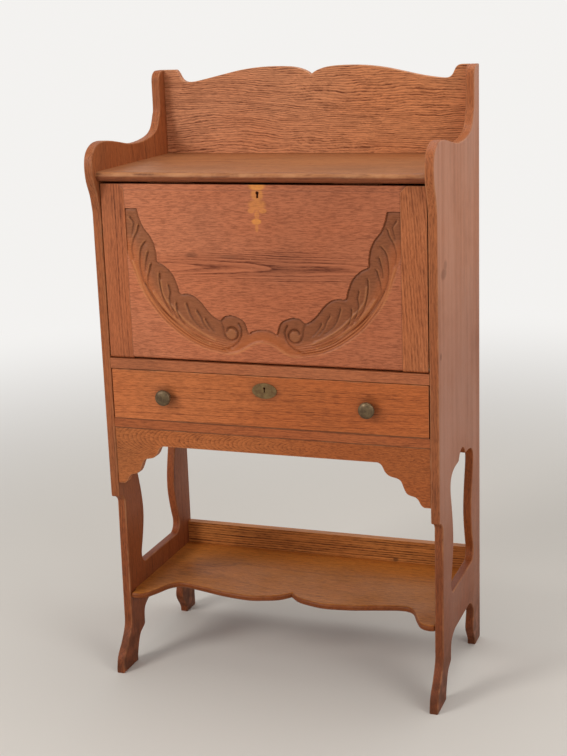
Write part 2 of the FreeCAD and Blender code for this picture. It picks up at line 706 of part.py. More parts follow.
def apron():
    """Shaped board under the drawer rail, with a stepped bracket at each end and glue blocks behind."""
    base = apron_top - s.apron_depth
    right = stretch(BRACKET_SHARES, (inner, base - s.bracket_drop), (-s.bracket_width, s.bracket_drop))
    left = mirrored(right)
    end = point(inner.value, right[0].y)
    top = point(inner.value, apron_top.value)
    curves = [line(end, right[0]), spline(right), line(right[-1], left[0]), spline(left),
              line(left[-1], point(-end.x, end.y)), line(point(-end.x, end.y), point(-top.x, top.y)),
              line(point(-top.x, top.y), top), line(top, end)]
    rear = front + s.apron_recess + s.apron_thick
    node("apron", sawn("apron_board", "XZ_Plane", curves, s.apron_thick, y=rear))
    half_block = s.glue_block_length / 2
    spread = inner - s.glue_block_inset
    blocks = [box(f"glue_block_{index}",
                  (spread * step - half_block, spread * step + half_block),
                  (rear, rear + s.glue_block_side), (apron_top - s.glue_block_side, apron_top))
              for index, step in enumerate((-1, 0, 1))]
    node("apron_glue_blocks", group("apron_glue_blocks", blocks))


def lower_shelf():
    """Shelf near the floor with a double-hollowed front, and the low rail that stands at its back."""
    right = stretch(SHELF_FRONT_SHARES, (zero, front + s.lower_shelf_setback), (inner, s.lower_shelf_hollow))
    left = mirrored(right)
    rear = point(inner.value, back.value)
    curves = [spline(right), spline(left), line(left[-1], point(-rear.x, rear.y)),
              line(point(-rear.x, rear.y), rear), line(rear, right[0])]
    board = sawn("lower_shelf_board", "XY_Plane", curves, s.lower_shelf_thick, z=lower_shelf_base)
    tongue_y = (front + s.lower_tongue_setback, back)
    tongues = [box(f"lower_shelf_tongue_{index}", beside(sign, inner, housed), tongue_y,
                   (lower_shelf_base, s.lower_shelf_top)) for index, sign in enumerate((-1, 1))]
    node("lower_shelf", fuse("lower_shelf", [board] + tongues))
    node("lower_back_rail", box("lower_rail", (-inner, inner), (back - s.lower_rail_thick, back),
                                (s.lower_shelf_top, s.lower_shelf_top + s.lower_rail_height)))


def fall_section(name, x_start, x_end, base):
    """Length of the fall's section: a plain board whose lower front edge is rounded about the pivot."""
    round_z = base + s.pivot_inset
    nose = [point(fall_front.value, round_z.value),
            point((fall_front + s.pivot_inset * TURN_SHARE).value, (base + s.pivot_inset * TURN_SHARE).value),
            point(pivot_y.value, base.value)]
    rear_base = point(fall_back.value, base.value)
    rear_top = point(fall_back.value, fall_top.value)
    front_top = point(fall_front.value, fall_top.value)
    curves = [Part.Arc(*nose), line(nose[2], rear_base), line(rear_base, rear_top), line(rear_top, front_top),
              line(front_top, nose[0])]
    return sawn(name, "YZ_Plane", curves, x_end - x_start, x=x_start)


def mitre_ear(name, sign):
    """Corner of the panel that laps over the end of a stile at the top."""
    corners = [point((panel_half * sign).value, (fall_top - s.mitre_size).value),
               point(((panel_half + s.mitre_size) * sign).value, fall_top.value),
               point((panel_half * sign).value, fall_top.value)]
    return sawn(name, "XZ_Plane", polygon(corners), s.fall_thick, y=fall_back)


def tongue_spans(sign):
    """Across, depth and height of the tongue between the panel and a stile."""
    middle = fall_front + s.fall_thick / 2
    return (beside(sign, panel_half, panel_half + s.tongue_depth),
            (middle - s.tongue_thick / 2, middle + s.tongue_thick / 2),
            (fall_base + s.tongue_end_gap, fall_top - s.tongue_end_gap))


def lug_screw_places(sign):
    offset = s.lug_plate_length / 2 - s.screw_head_radius * SCREW_EDGE_SHARE
    return [((lug_inner + s.lug_thick / 2) * sign, fall_back + s.lug_plate_thick, lug_z + offset * end)
            for end in (-1, 1)]


def lock_screw_places(lock_top, lock_face):
    """Four screws through the flange of a lock, near its corners."""
    across = s.lock_width / 2 - s.screw_head_radius * SCREW_EDGE_SHARE
    return [(across * sign, lock_face, lock_top - s.lock_height * share) for sign in (-1, 1)
            for share in LOCK_SCREW_SHARES]


def lock_span(lock_top):
    return (-s.lock_width / 2, s.lock_width / 2), (lock_top - s.lock_height, lock_top)


def lock(name, lock_top, lock_face, key):
    """Mortised lock: a case with a channel for the bolt, four screws, and the bolt drawn down."""
    across, up = lock_span(lock_top)
    body = box(f"{name}_block", across, (lock_face - s.lock_depth, lock_face), up)
    middle = lock_face - s.lock_depth / 2
    channel_x = s.bolt_width / 2 + s.bolt_clearance
    channel_y = s.bolt_thick / 2 + s.bolt_clearance
    channel = box(f"{name}_channel", (-channel_x, channel_x), (middle - channel_y, middle + channel_y),
                  (lock_top - s.bolt_height - s.bolt_clearance, lock_top + s.cut_overrun))
    case_front = lock_face - s.lock_depth
    eye = keyhole(f"{name}_case", key, (case_front - s.cut_overrun, case_front + s.lock_wall))
    places = lock_screw_places(lock_top, lock_face)
    holes = screw_holes(f"{name}_case_screw", places, "-y", s.screw_length + s.lock_depth / 2)
    node(f"{name}_case", cut(f"{name}_case", body, [channel, eye] + holes))
    node(f"{name}_bolt", box(f"{name}_bolt_bar", (-s.bolt_width / 2, s.bolt_width / 2),
                             (middle - s.bolt_thick / 2, middle + s.bolt_thick / 2),
                             (lock_top - s.bolt_height, lock_top)))
    screws(f"{name}_screws", places, "-y", s.screw_length + s.lock_depth / 2)


def lock_recess(name, lock_top, lock_face):
    across, up = lock_span(lock_top)
    return box(f"{name}_recess", across, (lock_face - s.lock_depth, lock_face + s.cut_overrun),
               (up[0], up[1] + s.cut_overrun))


def fall():
    """Panel and two clamping stiles, with the lock at the top and a pivot pin in each lower end."""
    ears = [mitre_ear(f"panel_ear_{index}", sign) for index, sign in enumerate((-1, 1))]
    tongues = [box(f"panel_tongue_{index}", *tongue_spans(sign)) for index, sign in enumerate((-1, 1))]
    body = fall_section("panel_body", -panel_half, panel_half, fall_base + s.panel_shrink)
    blank = fuse("panel_blank", [body] + ears + tongues)
    key = keyhole("panel", fall_key, (fall_front - s.cut_overrun, fall_back))
    places = lock_screw_places(fall_top, fall_back)
    tools = [lock_recess("panel_lock", fall_top, fall_back), key]
    tools += screw_holes("panel_screw", places, "-y", s.screw_length + s.lock_depth / 2)
    node("fall_panel", cut("fall_panel", blank, tools))
    pins = []
    for name, sign in (("left", -1), ("right", 1)):
        span = beside(sign, panel_half, fall_half)
        stile = fall_section(f"stile_{name}_body", *span, fall_base)
        heading = "x" if sign > 0 else "-x"
        pin_start = ((fall_half - s.pivot_seat) * sign, pivot_y, pivot_z)
        tools = [mitre_ear(f"stile_{name}_mitre", sign), box(f"stile_{name}_groove", *tongue_spans(sign)),
                 rod(f"stile_{name}_pin_hole", s.pivot_radius + s.joint_clearance,
                     s.pivot_seat + s.cut_overrun, pin_start, heading)]
        tools += screw_holes(f"stile_{name}_screw", lug_screw_places(sign), "-y", s.screw_length)
        node(f"fall_stile_{name}", cut(f"fall_stile_{name}", stile, tools))
        pin_length = s.pivot_seat + s.fall_side_gap + s.bush_length - s.pivot_end_gap
        pins.append(rod(f"pivot_pin_{name}", s.pivot_radius, pin_length, pin_start, heading))
    node("fall_pivot_pins", group("fall_pivot_pins", pins))


def pivot_bushes():
    """Brass bush in each side that a pivot pin turns in."""
    bushes = []
    for name, sign in (("left", -1), ("right", 1)):
        heading = "x" if sign > 0 else "-x"
        outside = rod(f"bush_{name}_outside", s.pivot_radius + s.bush_wall, s.bush_length,
                      (inner * sign, pivot_y, pivot_z), heading)
        bore = rod(f"bush_{name}_bore", s.pivot_radius + s.running_clearance,
                   s.bush_length + s.cut_overrun * 2, ((inner - s.cut_overrun) * sign, pivot_y, pivot_z),
                   heading)
        bushes.append(cut(f"bush_{name}", outside, [bore]))
    node("pivot_bushes", group("pivot_bushes", bushes))


def stay_hardware():
    """Posts on the sides, lugs on the fall and the slotted arms that slide between them."""
    posts = []
    lugs = []
    pins = []
    for name, sign in (("left", -1), ("right", 1)):
        outward = "x" if sign > 0 else "-x"
        inward = "-x" if sign > 0 else "x"
        head_face = stay_inner - s.stay_float
        tail = rod(f"post_{name}_tail", s.post_radius, s.post_tail, (inner * sign, post_y, post_z), outward)
        collar = rod(f"post_{name}_collar", s.post_collar_radius, s.stay_side_gap - s.stay_float,
                     (inner * sign, post_y, post_z), inward)
        shank = rod(f"post_{name}_shank", s.post_radius, inner - head_face,
                    (inner * sign, post_y, post_z), inward)
        head = rod(f"post_{name}_head", s.post_collar_radius, s.post_head_thick,
                   (head_face * sign, post_y, post_z), inward)
        posts.append(fuse(f"post_{name}", [tail, collar, shank, head]))
        lug_reach = lug_y + s.stay_width / 2
        lug_half = s.stay_width / 2
        plate_middle = (lug_inner + s.lug_thick / 2) * sign
        plate_half = s.lug_plate_width / 2
        plate = box(f"lug_{name}_plate", (plate_middle - plate_half, plate_middle + plate_half),
                    (fall_back, fall_back + s.lug_plate_thick),
                    (lug_z - s.lug_plate_length / 2, lug_z + s.lug_plate_length / 2))
        ear = box(f"lug_{name}_ear", beside(sign, lug_inner, lug_outer), (fall_back, lug_reach),
                  (lug_z - lug_half, lug_z + lug_half))
        eye = rod(f"lug_{name}_eye", s.lug_pin_radius + s.joint_clearance, s.lug_thick + s.cut_overrun * 2,
                  ((lug_inner - s.cut_overrun) * sign, lug_y, lug_z), outward)
        holes = screw_holes(f"lug_{name}_screw", lug_screw_places(sign), "-y", s.screw_length)
        lugs.append(cut(f"lug_{name}", fuse(f"lug_{name}_blank", [plate, ear]), [eye] + holes))
        pin_end = stay_outer + s.stay_float
        pin = rod(f"lug_pin_{name}_shank", s.lug_pin_radius, pin_end - lug_inner,
                  (lug_inner * sign, lug_y, lug_z), outward)
        cap = rod(f"lug_pin_{name}_cap", s.lug_pin_radius * PIN_CAP_SHARE, s.post_head_thick,
                  (pin_end * sign, lug_y, lug_z), outward)
        pins.append(fuse(f"lug_pin_{name}", [pin, cap]))
        stay_arm(name, sign)
    node("stay_posts", group("stay_posts", posts))
    node("stay_lugs", group("stay_lugs", lugs))
    node("stay_lug_pins", group("stay_lug_pins", pins))
    screws("stay_lug_screws", lug_screw_places(-1) + lug_screw_places(1), "-y", s.screw_length)


def rounded_bar(start, end, half):
    """Closed outline of a bar with round ends, along the first sketch axis."""
    return [line(point(start, half), point(end, half)),
            Part.Arc(point(end, half), point(end + half, 0), point(end, -half)),
            line(point(end, -half), point(start, -half)),
            Part.Arc(point(start, -half), point(start - half, 0), point(start, half))]


def stay_arm(name, sign):
    """Flat arm from the fall's lug to the post, slotted so that the post stops it when the fall is level."""
    closed_back = post_y - lug_y
    closed_drop = lug_z - post_z
    closed_reach = math.hypot(closed_back.value, closed_drop.value)
    open_reach = math.hypot((post_y - pivot_y + (lug_z - pivot_z)).value,
                            (post_z - pivot_z - (lug_y - pivot_y)).value)
    slot_half = (s.post_radius + s.stay_slot_clearance).value
    spare = s.stay_slot_clearance.value
    pin_hole = Part.Circle(point(0, 0), FreeCAD.Vector(0, 0, 1),
                           (s.lug_pin_radius + s.running_clearance).value)
    curves = rounded_bar(0, open_reach + s.stay_width.value / 2, s.stay_width.value / 2)
    curves += rounded_bar(closed_reach - spare, open_reach + spare, slot_half) + [pin_hole]
    arm = sawn(f"stay_{name}_bar", "YZ_Plane", curves, s.stay_thick,
               x=stay_inner if sign > 0 else -stay_outer, y=lug_y, z=lug_z)
    arm.Placement = FreeCAD.Placement(arm.Placement.Base, FreeCAD.Rotation(FreeCAD.Vector(-1, 0, 0), 1))
    arm.setExpression("Placement.Rotation.Angle", f"atan2({closed_drop.formula}; {closed_back.formula})")
    node(f"stay_arm_{name}", arm)


def strike_plate():
    """Brass plate let into the shelf's underside, slotted for the fall's bolt."""
    lock_y = fall_back - s.lock_depth / 2
    plate = box("strike_blank", (-s.strike_length / 2, s.strike_length / 2),
                (lock_y - s.strike_width / 2, lock_y + s.strike_width / 2),
                (shelf_base, shelf_base + s.strike_thick))
    tools = [bolt_mortise("strike", lock_y, shelf_base)]
    tools += screw_holes("strike_screw", strike_screw_places(), "z", s.screw_length)
    node("fall_strike_plate", cut("fall_strike_plate", plate, tools))


def fall_stops():
    """Two blocks under the top shelf that the closed fall leans on."""
    start = fall_back + s.stop_clearance
    half = s.fall_stop_length / 2
    middle = inner - s.fall_stop_inset
    blocks = [box(f"fall_stop_{index}", beside(sign, middle - half, middle + half),
                  (start, start + s.fall_stop_depth), (shelf_base - s.fall_stop_height, shelf_base))
              for index, sign in enumerate((-1, 1))]
    node("fall_stops", group("fall_stops", blocks))


def drawer_side_spans(sign):
    outer = inner - s.drawer_side_gap - s.drawer_side_inset
    lap = drawer_front_back - s.drawer_side_thick
    return (beside(sign, outer - s.drawer_side_thick, outer), (lap, back_face - s.drawer_back_gap),
            (drawer_front_base, drawer_front_base + s.drawer_side_height))


def drawer_bottom_spans():
    outer = inner - s.drawer_side_gap - s.drawer_side_inset - s.drawer_side_thick + s.drawer_groove_depth
    base = drawer_front_base + s.drawer_bottom_lift
    return ((-outer, outer), (drawer_front_back - s.drawer_groove_depth, back_face - s.drawer_back_gap),
            (base, base + s.drawer_bottom_thick))


def drawer():
    """Drawer box lapped into its front, with a bottom that slides in from behind under the back."""
    front_half = inner - s.drawer_side_gap
    slab = box("drawer_front_slab", (-front_half, front_half), (drawer_front_face, drawer_front_back),
               (drawer_front_base, drawer_front_top))
    tools = [keyhole("drawer_front", drawer_key, (drawer_front_face - s.cut_overrun, drawer_front_back)),
             lock_recess("drawer_lock", drawer_front_top, drawer_front_back),
             box("drawer_front_groove", *drawer_bottom_spans())]
    for index, sign in enumerate((-1, 1)):
        side_x, side_y, side_z = drawer_side_spans(sign)
        tools.append(box(f"drawer_lap_{index}", side_x, (side_y[0], drawer_front_back + s.cut_overrun),
                         side_z))
        tools.append(rod(f"drawer_knob_hole_{index}", s.knob_bolt_radius + s.joint_clearance,
                         s.drawer_front_thick + s.cut_overrun * 2,
                         (knob_x * sign, drawer_front_face - s.cut_overrun, knob_z), "y"))
    tools += screw_holes("drawer_lock_screw", lock_screw_places(drawer_front_top, drawer_front_back), "-y",
                         s.screw_length + s.lock_depth / 2)
    tools += plate_pin_tools("drawer_plate_pin", s.joint_clearance)
    node("drawer_front", cut("drawer_front", slab, tools))
    for name, sign in (("left", -1), ("right", 1)):
        board = box(f"drawer_side_{name}_board", *drawer_side_spans(sign))
        node(f"drawer_side_{name}", cut(f"drawer_side_{name}", board,
                                        [box(f"drawer_groove_{name}", *drawer_bottom_spans())]))
    node("drawer_bottom", box("drawer_bottom_board", *drawer_bottom_spans()))
    side_x, side_y, side_z = drawer_side_spans(1)
    bottom_z = drawer_bottom_spans()[2]
    node("drawer_back", box("drawer_back_board", (-side_x[0], side_x[0]),
                            (side_y[1] - s.drawer_side_thick, side_y[1]), (bottom_z[1], side_z[1])))


def knobs():
    """Turned knobs, each drawn up by a bolt from inside the drawer."""
    profile = [point(share_r * s.knob_radius.value, -share_y * s.knob_projection.value)
               for share_r, share_y in KNOB_SHARES]
    axis_foot = point(0, 0)
    curves = [line(axis_foot, profile[0]), spline(profile), line(profile[-1], axis_foot)]
    bolts = []
    bolt_length = s.drawer_front_thick + s.knob_bolt_bite
    for name, sign in (("left", -1), ("right", 1)):
        place = (knob_x * sign, drawer_front_back, knob_z)
        turning = turned(f"knob_{name}_turning", curves, x=place[0], y=drawer_front_face, z=knob_z)
        hole = rod(f"knob_{name}_hole", s.knob_bolt_radius + s.joint_clearance,
                   bolt_length + s.joint_clearance, place, "-y")
        node(f"drawer_knob_{name}", cut(f"drawer_knob_{name}", turning, [hole]))
        shank = rod(f"knob_bolt_{name}_shank", s.knob_bolt_radius, bolt_length, place, "-y")
        head = taper(f"knob_bolt_{name}_head", s.knob_bolt_head_radius,
                     s.knob_bolt_head_radius * BOLT_TOP_SHARE, s.knob_bolt_head_thick, place, "y")
        bolts.append(fuse(f"knob_bolt_{name}", [shank, head]))
    node("knob_bolts", group("knob_bolts", bolts))


def plate_centre():
    return drawer_key.z - s.plate_key_rise


def plate_pin_tools(name, clearance):
    """Two pins of the escutcheon, near the ends of its long axis."""
    across = s.plate_half_width - s.plate_pin_inset
    return [rod(f"{name}_{index}", s.nail_radius + clearance, s.plate_pin_length,
                (across * sign, drawer_front_face - s.plate_thick, plate_centre()), "y")
            for index, sign in enumerate((-1, 1))]


def escutcheon():
    """Oval keyhole plate on the drawer front, held by two pins."""
    centre = plate_centre()
    oval = Part.Ellipse(point(0, centre.value), s.plate_half_width.value, s.plate_half_height.value)
    blank = sawn("escutcheon_blank", "XZ_Plane", [oval], s.plate_thick, y=drawer_front_face)
    key = keyhole("escutcheon", drawer_key, (drawer_front_face - s.plate_thick - s.cut_overrun,
                                             drawer_front_face + s.cut_overrun))
    node("drawer_escutcheon", cut("drawer_escutcheon", blank,
                                  [key] + plate_pin_tools("plate_pin_hole", s.joint_clearance)))
    node("escutcheon_pins", group("escutcheon_pins", plate_pin_tools("plate_pin", zero)))


def pigeonholes():
    """Open unit at the back of the compartment: two ends, a top and dividers that make equal holes."""
    rear = (back_face - s.pigeon_depth, back_face)
    top = bed_top + s.pigeon_height
    up = (bed_top, top)
    half = inner - s.pigeon_side_gap
    for name, sign in (("left", -1), ("right", 1)):
        across = beside(sign, half - s.pigeon_board, half)
        node(f"pigeonhole_end_{name}", box(f"pigeon_end_{name}", across, rear, up))
    node("pigeonhole_top", box("pigeon_top", (-half, half), rear, (top, top + s.pigeon_board)))
    clear = (half - s.pigeon_board) * 2
    hole_width = (clear - s.pigeon_board * (PIGEONHOLES - 1)) / PIGEONHOLES
    for index in range(1, PIGEONHOLES):
        start = s.pigeon_board - half + hole_width * index + s.pigeon_board * (index - 1)
        across = (start, start + s.pigeon_board)
        node(f"pigeonhole_divider_{index}", box(f"pigeon_divider_{index}", across, rear, up))


def model():
    side("side_panel_left", -1)
    side("side_panel_right", 1)
    top_shelf()
    gallery_board()
    node("gallery_screws", group("gallery_screws", gallery_screw_tools("gallery_screw", zero)))
    rail("bed_rail", front, drawer_roof, s.bed_rail_height,
         [bolt_mortise("bed_rail", drawer_front_back - s.lock_depth / 2, drawer_roof)])
    rail("drawer_rail", front + s.drawer_rail_recess, apron_top, s.drawer_rail_height, [])
    writing_bed()
    case_back()
    drawer_bearers()
    apron()
    lower_shelf()
    pivot_bushes()
    fall_stops()
    strike_plate()
    screws("strike_screws", strike_screw_places(), "z", s.screw_length)
    pigeonholes()
    fall()
    lock("fall_lock", fall_top, fall_back, fall_key)
    stay_hardware()
    drawer()
    knobs()
    escutcheon()
    lock("drawer_lock", drawer_front_top, drawer_front_back, drawer_key)


model()
doc.recompute()

faults = [f"{piece.Label}: {', '.join(piece.State)}" for piece in doc.Objects
          if "Invalid" in piece.State or "Error" in piece.State]
faults += [piece.Label for piece in nodes if piece.Shape.isNull() or not piece.Shape.isValid()]
if faults:
    raise RuntimeError("These pieces failed: " + "; ".join(faults))

os.makedirs("parts", exist_ok=True)
for piece in nodes:
    piece.Shape.exportStep(f"parts/{piece.Label}.step")
    bounds = piece.Shape.BoundBox
    print(f"{piece.Label}: {len(piece.Shape.Solids)} solids, {piece.Shape.Volume:.0f} mm3, "
          f"x {bounds.XMin:.1f}..{bounds.XMax:.1f} y {bounds.YMin:.1f}..{bounds.YMax:.1f} "
          f"z {bounds.ZMin:.1f}..{bounds.ZMax:.1f}")
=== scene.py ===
"""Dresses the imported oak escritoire: softened boards, carved fall, turned knobs, old finish and a plain studio."""

import json
import math

import bmesh
import bpy
import numpy as np
from mathutils import Euler, Matrix, Vector

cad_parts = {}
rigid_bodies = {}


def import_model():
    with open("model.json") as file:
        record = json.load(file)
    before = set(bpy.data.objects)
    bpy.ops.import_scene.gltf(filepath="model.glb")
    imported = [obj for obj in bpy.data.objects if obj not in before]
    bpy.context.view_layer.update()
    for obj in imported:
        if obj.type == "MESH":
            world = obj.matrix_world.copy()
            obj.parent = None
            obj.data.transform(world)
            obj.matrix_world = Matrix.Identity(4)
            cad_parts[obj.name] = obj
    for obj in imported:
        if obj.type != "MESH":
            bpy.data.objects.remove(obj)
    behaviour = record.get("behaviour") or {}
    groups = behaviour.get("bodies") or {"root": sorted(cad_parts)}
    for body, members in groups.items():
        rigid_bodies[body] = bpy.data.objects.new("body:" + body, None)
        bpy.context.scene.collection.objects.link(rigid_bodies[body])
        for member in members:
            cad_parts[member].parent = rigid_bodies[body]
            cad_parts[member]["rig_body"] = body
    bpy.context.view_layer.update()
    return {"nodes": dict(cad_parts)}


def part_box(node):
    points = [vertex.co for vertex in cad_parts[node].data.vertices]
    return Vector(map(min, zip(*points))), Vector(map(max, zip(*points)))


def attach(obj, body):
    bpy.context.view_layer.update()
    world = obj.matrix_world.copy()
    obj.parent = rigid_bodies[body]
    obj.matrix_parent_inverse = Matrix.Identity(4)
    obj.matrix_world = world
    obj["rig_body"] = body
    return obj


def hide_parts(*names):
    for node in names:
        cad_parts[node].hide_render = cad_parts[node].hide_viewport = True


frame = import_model()

bl_info = {
    "name": "Oak Escritoire",
    "version": (1, 0, 0),
    "blender": (4, 5, 0),
    "location": "3D View > Sidebar > Escritoire",
    "description": "Boards, carving, fittings and finish of a fall-front oak desk",
    "category": "Object",
}

MM = 0.001
MERGE_GAP = 0.01 * MM
PAIR_GAP = 0.05 * MM
FLAT_ANGLE = math.radians(0.6)
SOFT_ANGLE = math.radians(40)
ARRIS_ANGLE = math.radians(35)
SHORT_EDGE = 6 * MM

# Axis of the grain of a board: the turn that brings it to the pattern's own X.
ALONG = {"x": Euler((0, 0, 0)), "y": Euler((0, 0, -math.pi / 2)), "z": Euler((0, math.pi / 2, 0))}

# Half of the carved swag, measured on the fall's face: distance from the middle and height, both in mm.
SWAG_RIM = [
    (0, 755), (12, 754), (24, 750), (29, 747), (33, 760), (38, 770), (45, 775), (58, 780), (67, 781), (78, 779),
    (88, 771), (102, 778), (114, 790), (127, 806), (141, 817), (156, 821), (170, 821), (174, 834), (181, 853),
    (190, 866), (203, 877), (216, 884), (217, 900), (221, 919), (229, 935), (241, 950), (249, 968), (253, 984),
    (254.5, 988), (256, 988.5), (284, 988.5),
]
SWAG_FOOT = [
    (284, 906), (277, 888), (264, 854), (253, 828), (237, 801), (210, 768), (186, 747), (156, 727), (125, 713),
    (94, 706), (65, 703), (43, 710), (25, 722), (12, 727), (0, 729),
]
# Veins of the leaves, each from its lobe down into the stem.
VEINS = [
    [(271, 970), (264, 960), (265, 950), (268, 938)],
    [(254, 953), (257, 942), (264, 930), (269, 915), (270, 905), (268, 890)],
    [(242, 921), (249, 912), (253, 900), (255, 880), (254, 865), (251, 850), (245, 835)],
    [(237, 900), (240, 888), (242, 880), (244, 865)],
    [(232, 876), (235, 865), (239, 850), (240, 832)],
    [(214, 858), (214, 840), (211, 822), (206, 805), (198, 790), (188, 775)],
    [(196, 836), (193, 822), (195, 808), (190, 790), (180, 770)],
    [(181, 800), (179, 785), (173, 770), (165, 760)],
    [(159, 800), (155, 788), (150, 775), (140, 762), (128, 752)],
    [(137, 786), (130, 775), (125, 762), (115, 750)],
    [(120, 770), (112, 757), (104, 748)],
    [(246, 838), (236, 820), (220, 797), (190, 768), (150, 742), (115, 724)],
]
STEM_RIDGES = [
    [(268, 882), (262, 865), (255, 840), (245, 815), (235, 795), (215, 770), (190, 745), (160, 725), (130, 712),
     (100, 705), (80, 702)],
    [(228, 822), (215, 803), (195, 780), (170, 757), (140, 735), (110, 722)],
    [(212, 845), (208, 820), (200, 805), (185, 790), (160, 765), (130, 745), (100, 730)],
    [(80, 702), (55, 706), (40, 714), (25, 722), (12, 727), (0, 729)],
]
SCROLL_GROOVES = [
    [(75, 749), (70, 756), (60, 756), (53, 748), (54, 738), (63, 731), (74, 733), (81, 743), (83, 756), (87, 768)],
    [(50, 764), (45, 752), (47, 737), (55, 725), (68, 716), (84, 712)],
]
SCROLL_EYE = (66, 744)
SCROLL_EYE_RADIUS = 12.0
RIM_CHANNEL = 3.4
FOOT_RISE = 8.0
FOOT_LINE_END = 270.0
FOOT_EDGE = 1.4
# Distances from the foot at which the stem starts to fade and is gone.
STEM_FADE = (7.8, 33.8)
VEIN_STEEP = 1.3
VEIN_GENTLE = 4.6
VEIN_POWER = 1.6
VEIN_LINE = 1.5
RIDGE_WIDTH = 2.2
SCROLL_GROOVE_WIDTH = 2.2
# What a vein and a scroll's groove have lost at their end, as a share.
VEIN_FADE = 0.5
GROOVE_FADE = 0.4
# Strands along the stem: spacing in mm at the outer end, and how much closer they lie at the scroll.
STRAND_SPACING = 6.4
STRAND_TAPER = 0.4
STRAND_HEIGHT = 1.1
# Where the strands start and where they are gone, as shares of the foot line, and the runs over which they do so.
STRAND_START, STRAND_START_RUN = 0.18, 0.15
STRAND_END, STRAND_END_RUN = 0.86, 0.1
# Strength of the carving's lines and channel in its painted shade, and of its ridges and the lit side of its veins in
# the mask of rubbed wood and painted highlight.
CARVING_SHADE = {"line": 0.7, "groove": 0.8, "strand": 0.5, "channel": 0.25}
RUBBED_AND_LIT = {"ridge": 0.75, "vein": 0.5, "strand": 0.7, "eye": 0.3, "foot": 0.5}
# The lost keyhole plate's ghost as ovals: middle, half sizes in mm and strength. Its edge starts at a share of the half
# sizes and runs over another.
GHOST_EDGE, GHOST_EDGE_RUN = 0.8, 0.4
GHOST_OVALS = [
    (0, 1034, 16, 8, 1.0), (0, 1018, 12, 13, 0.6), (-1, 998, 17, 11, 0.5), (-13, 987, 7, 5, 0.55),
    (10, 987, 8, 5, 0.55), (-2, 979, 5, 8, 0.5), (-3.5, 966, 9.5, 5.5, 0.95), (-3, 954, 3.3, 8, 0.4),
]

# Knob as turned: radius as a share of the full radius, then reach as a share of the projection.
KNOB_PROFILE = [
    (0.56, 0.0), (0.6, 0.06), (0.5, 0.13), (0.42, 0.28), (0.46, 0.44), (0.74, 0.52), (0.96, 0.6), (1.0, 0.72),
    (0.93, 0.84), (0.66, 0.95), (0.3, 0.992), (0.0, 1.0),
]


def colour(red, green, blue):
    """Linear colour with full alpha from the 0 to 255 levels of a screen colour."""
    level = np.array([red, green, blue]) / 255
    linear = np.where(level <= 0.04045, level / 12.92, ((level + 0.055) / 1.055) ** 2.4)
    return (*linear.tolist(), 1.0)


def length(name, description, millimetres):
    """A length that the user can change."""
    return bpy.props.FloatProperty(name=name, description=description, default=millimetres * MM, unit="LENGTH")


def tint(name, description, default):
    """A colour that the user can change."""
    return bpy.props.FloatVectorProperty(
        name=name, description=description, subtype="COLOR", size=4, default=default, min=0, max=1)


class EscritoireSizes(bpy.types.PropertyGroup):
    """Sizes of the softened edges, the carving and the fall's joint lines."""

    side_arris: length("Side arris", "Softening of the sawn sides' edges", 2.5)
    shelf_arris: length("Shelf arris", "Rounding of the lower shelf's edges", 4.5)
    board_arris: length("Board arris", "Softening of gallery, apron and drawer front", 1.4)
    rail_arris: length("Rail arris", "Softening of rails, stiles and inside boards", 0.7)
    carving_depth: length("Carving depth", "Depth of the channel inside the rim", 3.8)
    leaf_depth: length("Leaf depth", "Depth of the leaves below the face", 2.3)
    vein_depth: length("Vein depth", "Depth of the veins in the leaves", 3.6)
    ridge_height: length("Ridge height", "Height of the ridges along the stem", 2.2)
    carving_step: length("Carving step", "Spacing of the carved surface's points", 1.1)
    joint_vee: length("Joint vee", "Depth of the line where the fall's boards meet", 0.5)


class EscritoireFinish(bpy.types.PropertyGroup):
    """Colours of the finish and the fittings."""

    # Also the colour of the painted highlight on the top shelf's nose.
    worn_and_highlit_oak: tint("Worn oak", "Oak where handling has rubbed the finish away", colour(196, 138, 96))
    # Also the colour of painted shade, which the cavity mask lays in cuts, gaps and recesses.
    grime_and_shade: tint("Grime", "Old dirt and wax in corners and cuts", colour(62, 34, 20))
    carved_oak: tint("Carved oak", "Browner wood of the carving", colour(122, 74, 42))
    stem_oak: tint("Stem oak", "Warm wood along the swag's stem", colour(178, 98, 46))
    # Rubbed wood and painted highlight on the carving's ridges.
    crest_oak: tint("Crest oak", "Rubbed wood on the carving's ridges", colour(226, 154, 98))
    # Painted shade on the inner faces of the sides' piercings.
    reveal: tint("Reveal shade", "Dirt that dulls the piercings' inner edges", (0.88, 0.72, 0.46, 1.0))
    # Darkens the sides towards the floor, most in front.
    lower_leg_darkening: tint("Leg darkening", "Stain that deepens the lower ends of the sides", (0.5, 0.33, 0.18, 1.0))
    ghost: tint("Plate ghost", "Bright wood that a lost keyhole plate once covered", colour(240, 160, 80))
    bronze: tint("Bronze", "Rubbed metal of the knobs", colour(118, 98, 70))
    bronze_patina: tint("Bronze patina", "Dark skin of the knobs", colour(80, 62, 44))
    plate: tint("Keyhole plate", "Rubbed metal of the keyhole plate", colour(124, 100, 62))
    plate_patina: tint("Keyhole plate patina", "Brown skin of the keyhole plate", colour(100, 73, 42))
    brass: tint("Brass", "Metal of stays, bolts and pins", colour(178, 138, 74))
    brass_patina: tint("Brass patina", "Tarnish of the brass", colour(104, 78, 42))
    iron: tint("Iron", "Metal of screws, nails and lock cases", colour(128, 124, 118))
    iron_rust: tint("Iron rust", "Brown bloom on the iron", colour(84, 60, 46))
    floor: tint("Floor", "Pale studio floor", colour(222, 218, 212))


# Scales per m of the oak's noises, along the grain and across it.
GRAIN_SCALES = {"wave": (3.2, 8.0), "breaks": (11.0, 150.0), "pores": (60.0, 1150.0), "dashes": (60.0, 540.0),
                "streaks": (4.0, 240.0), "blotch": (4.0, 11.0)}
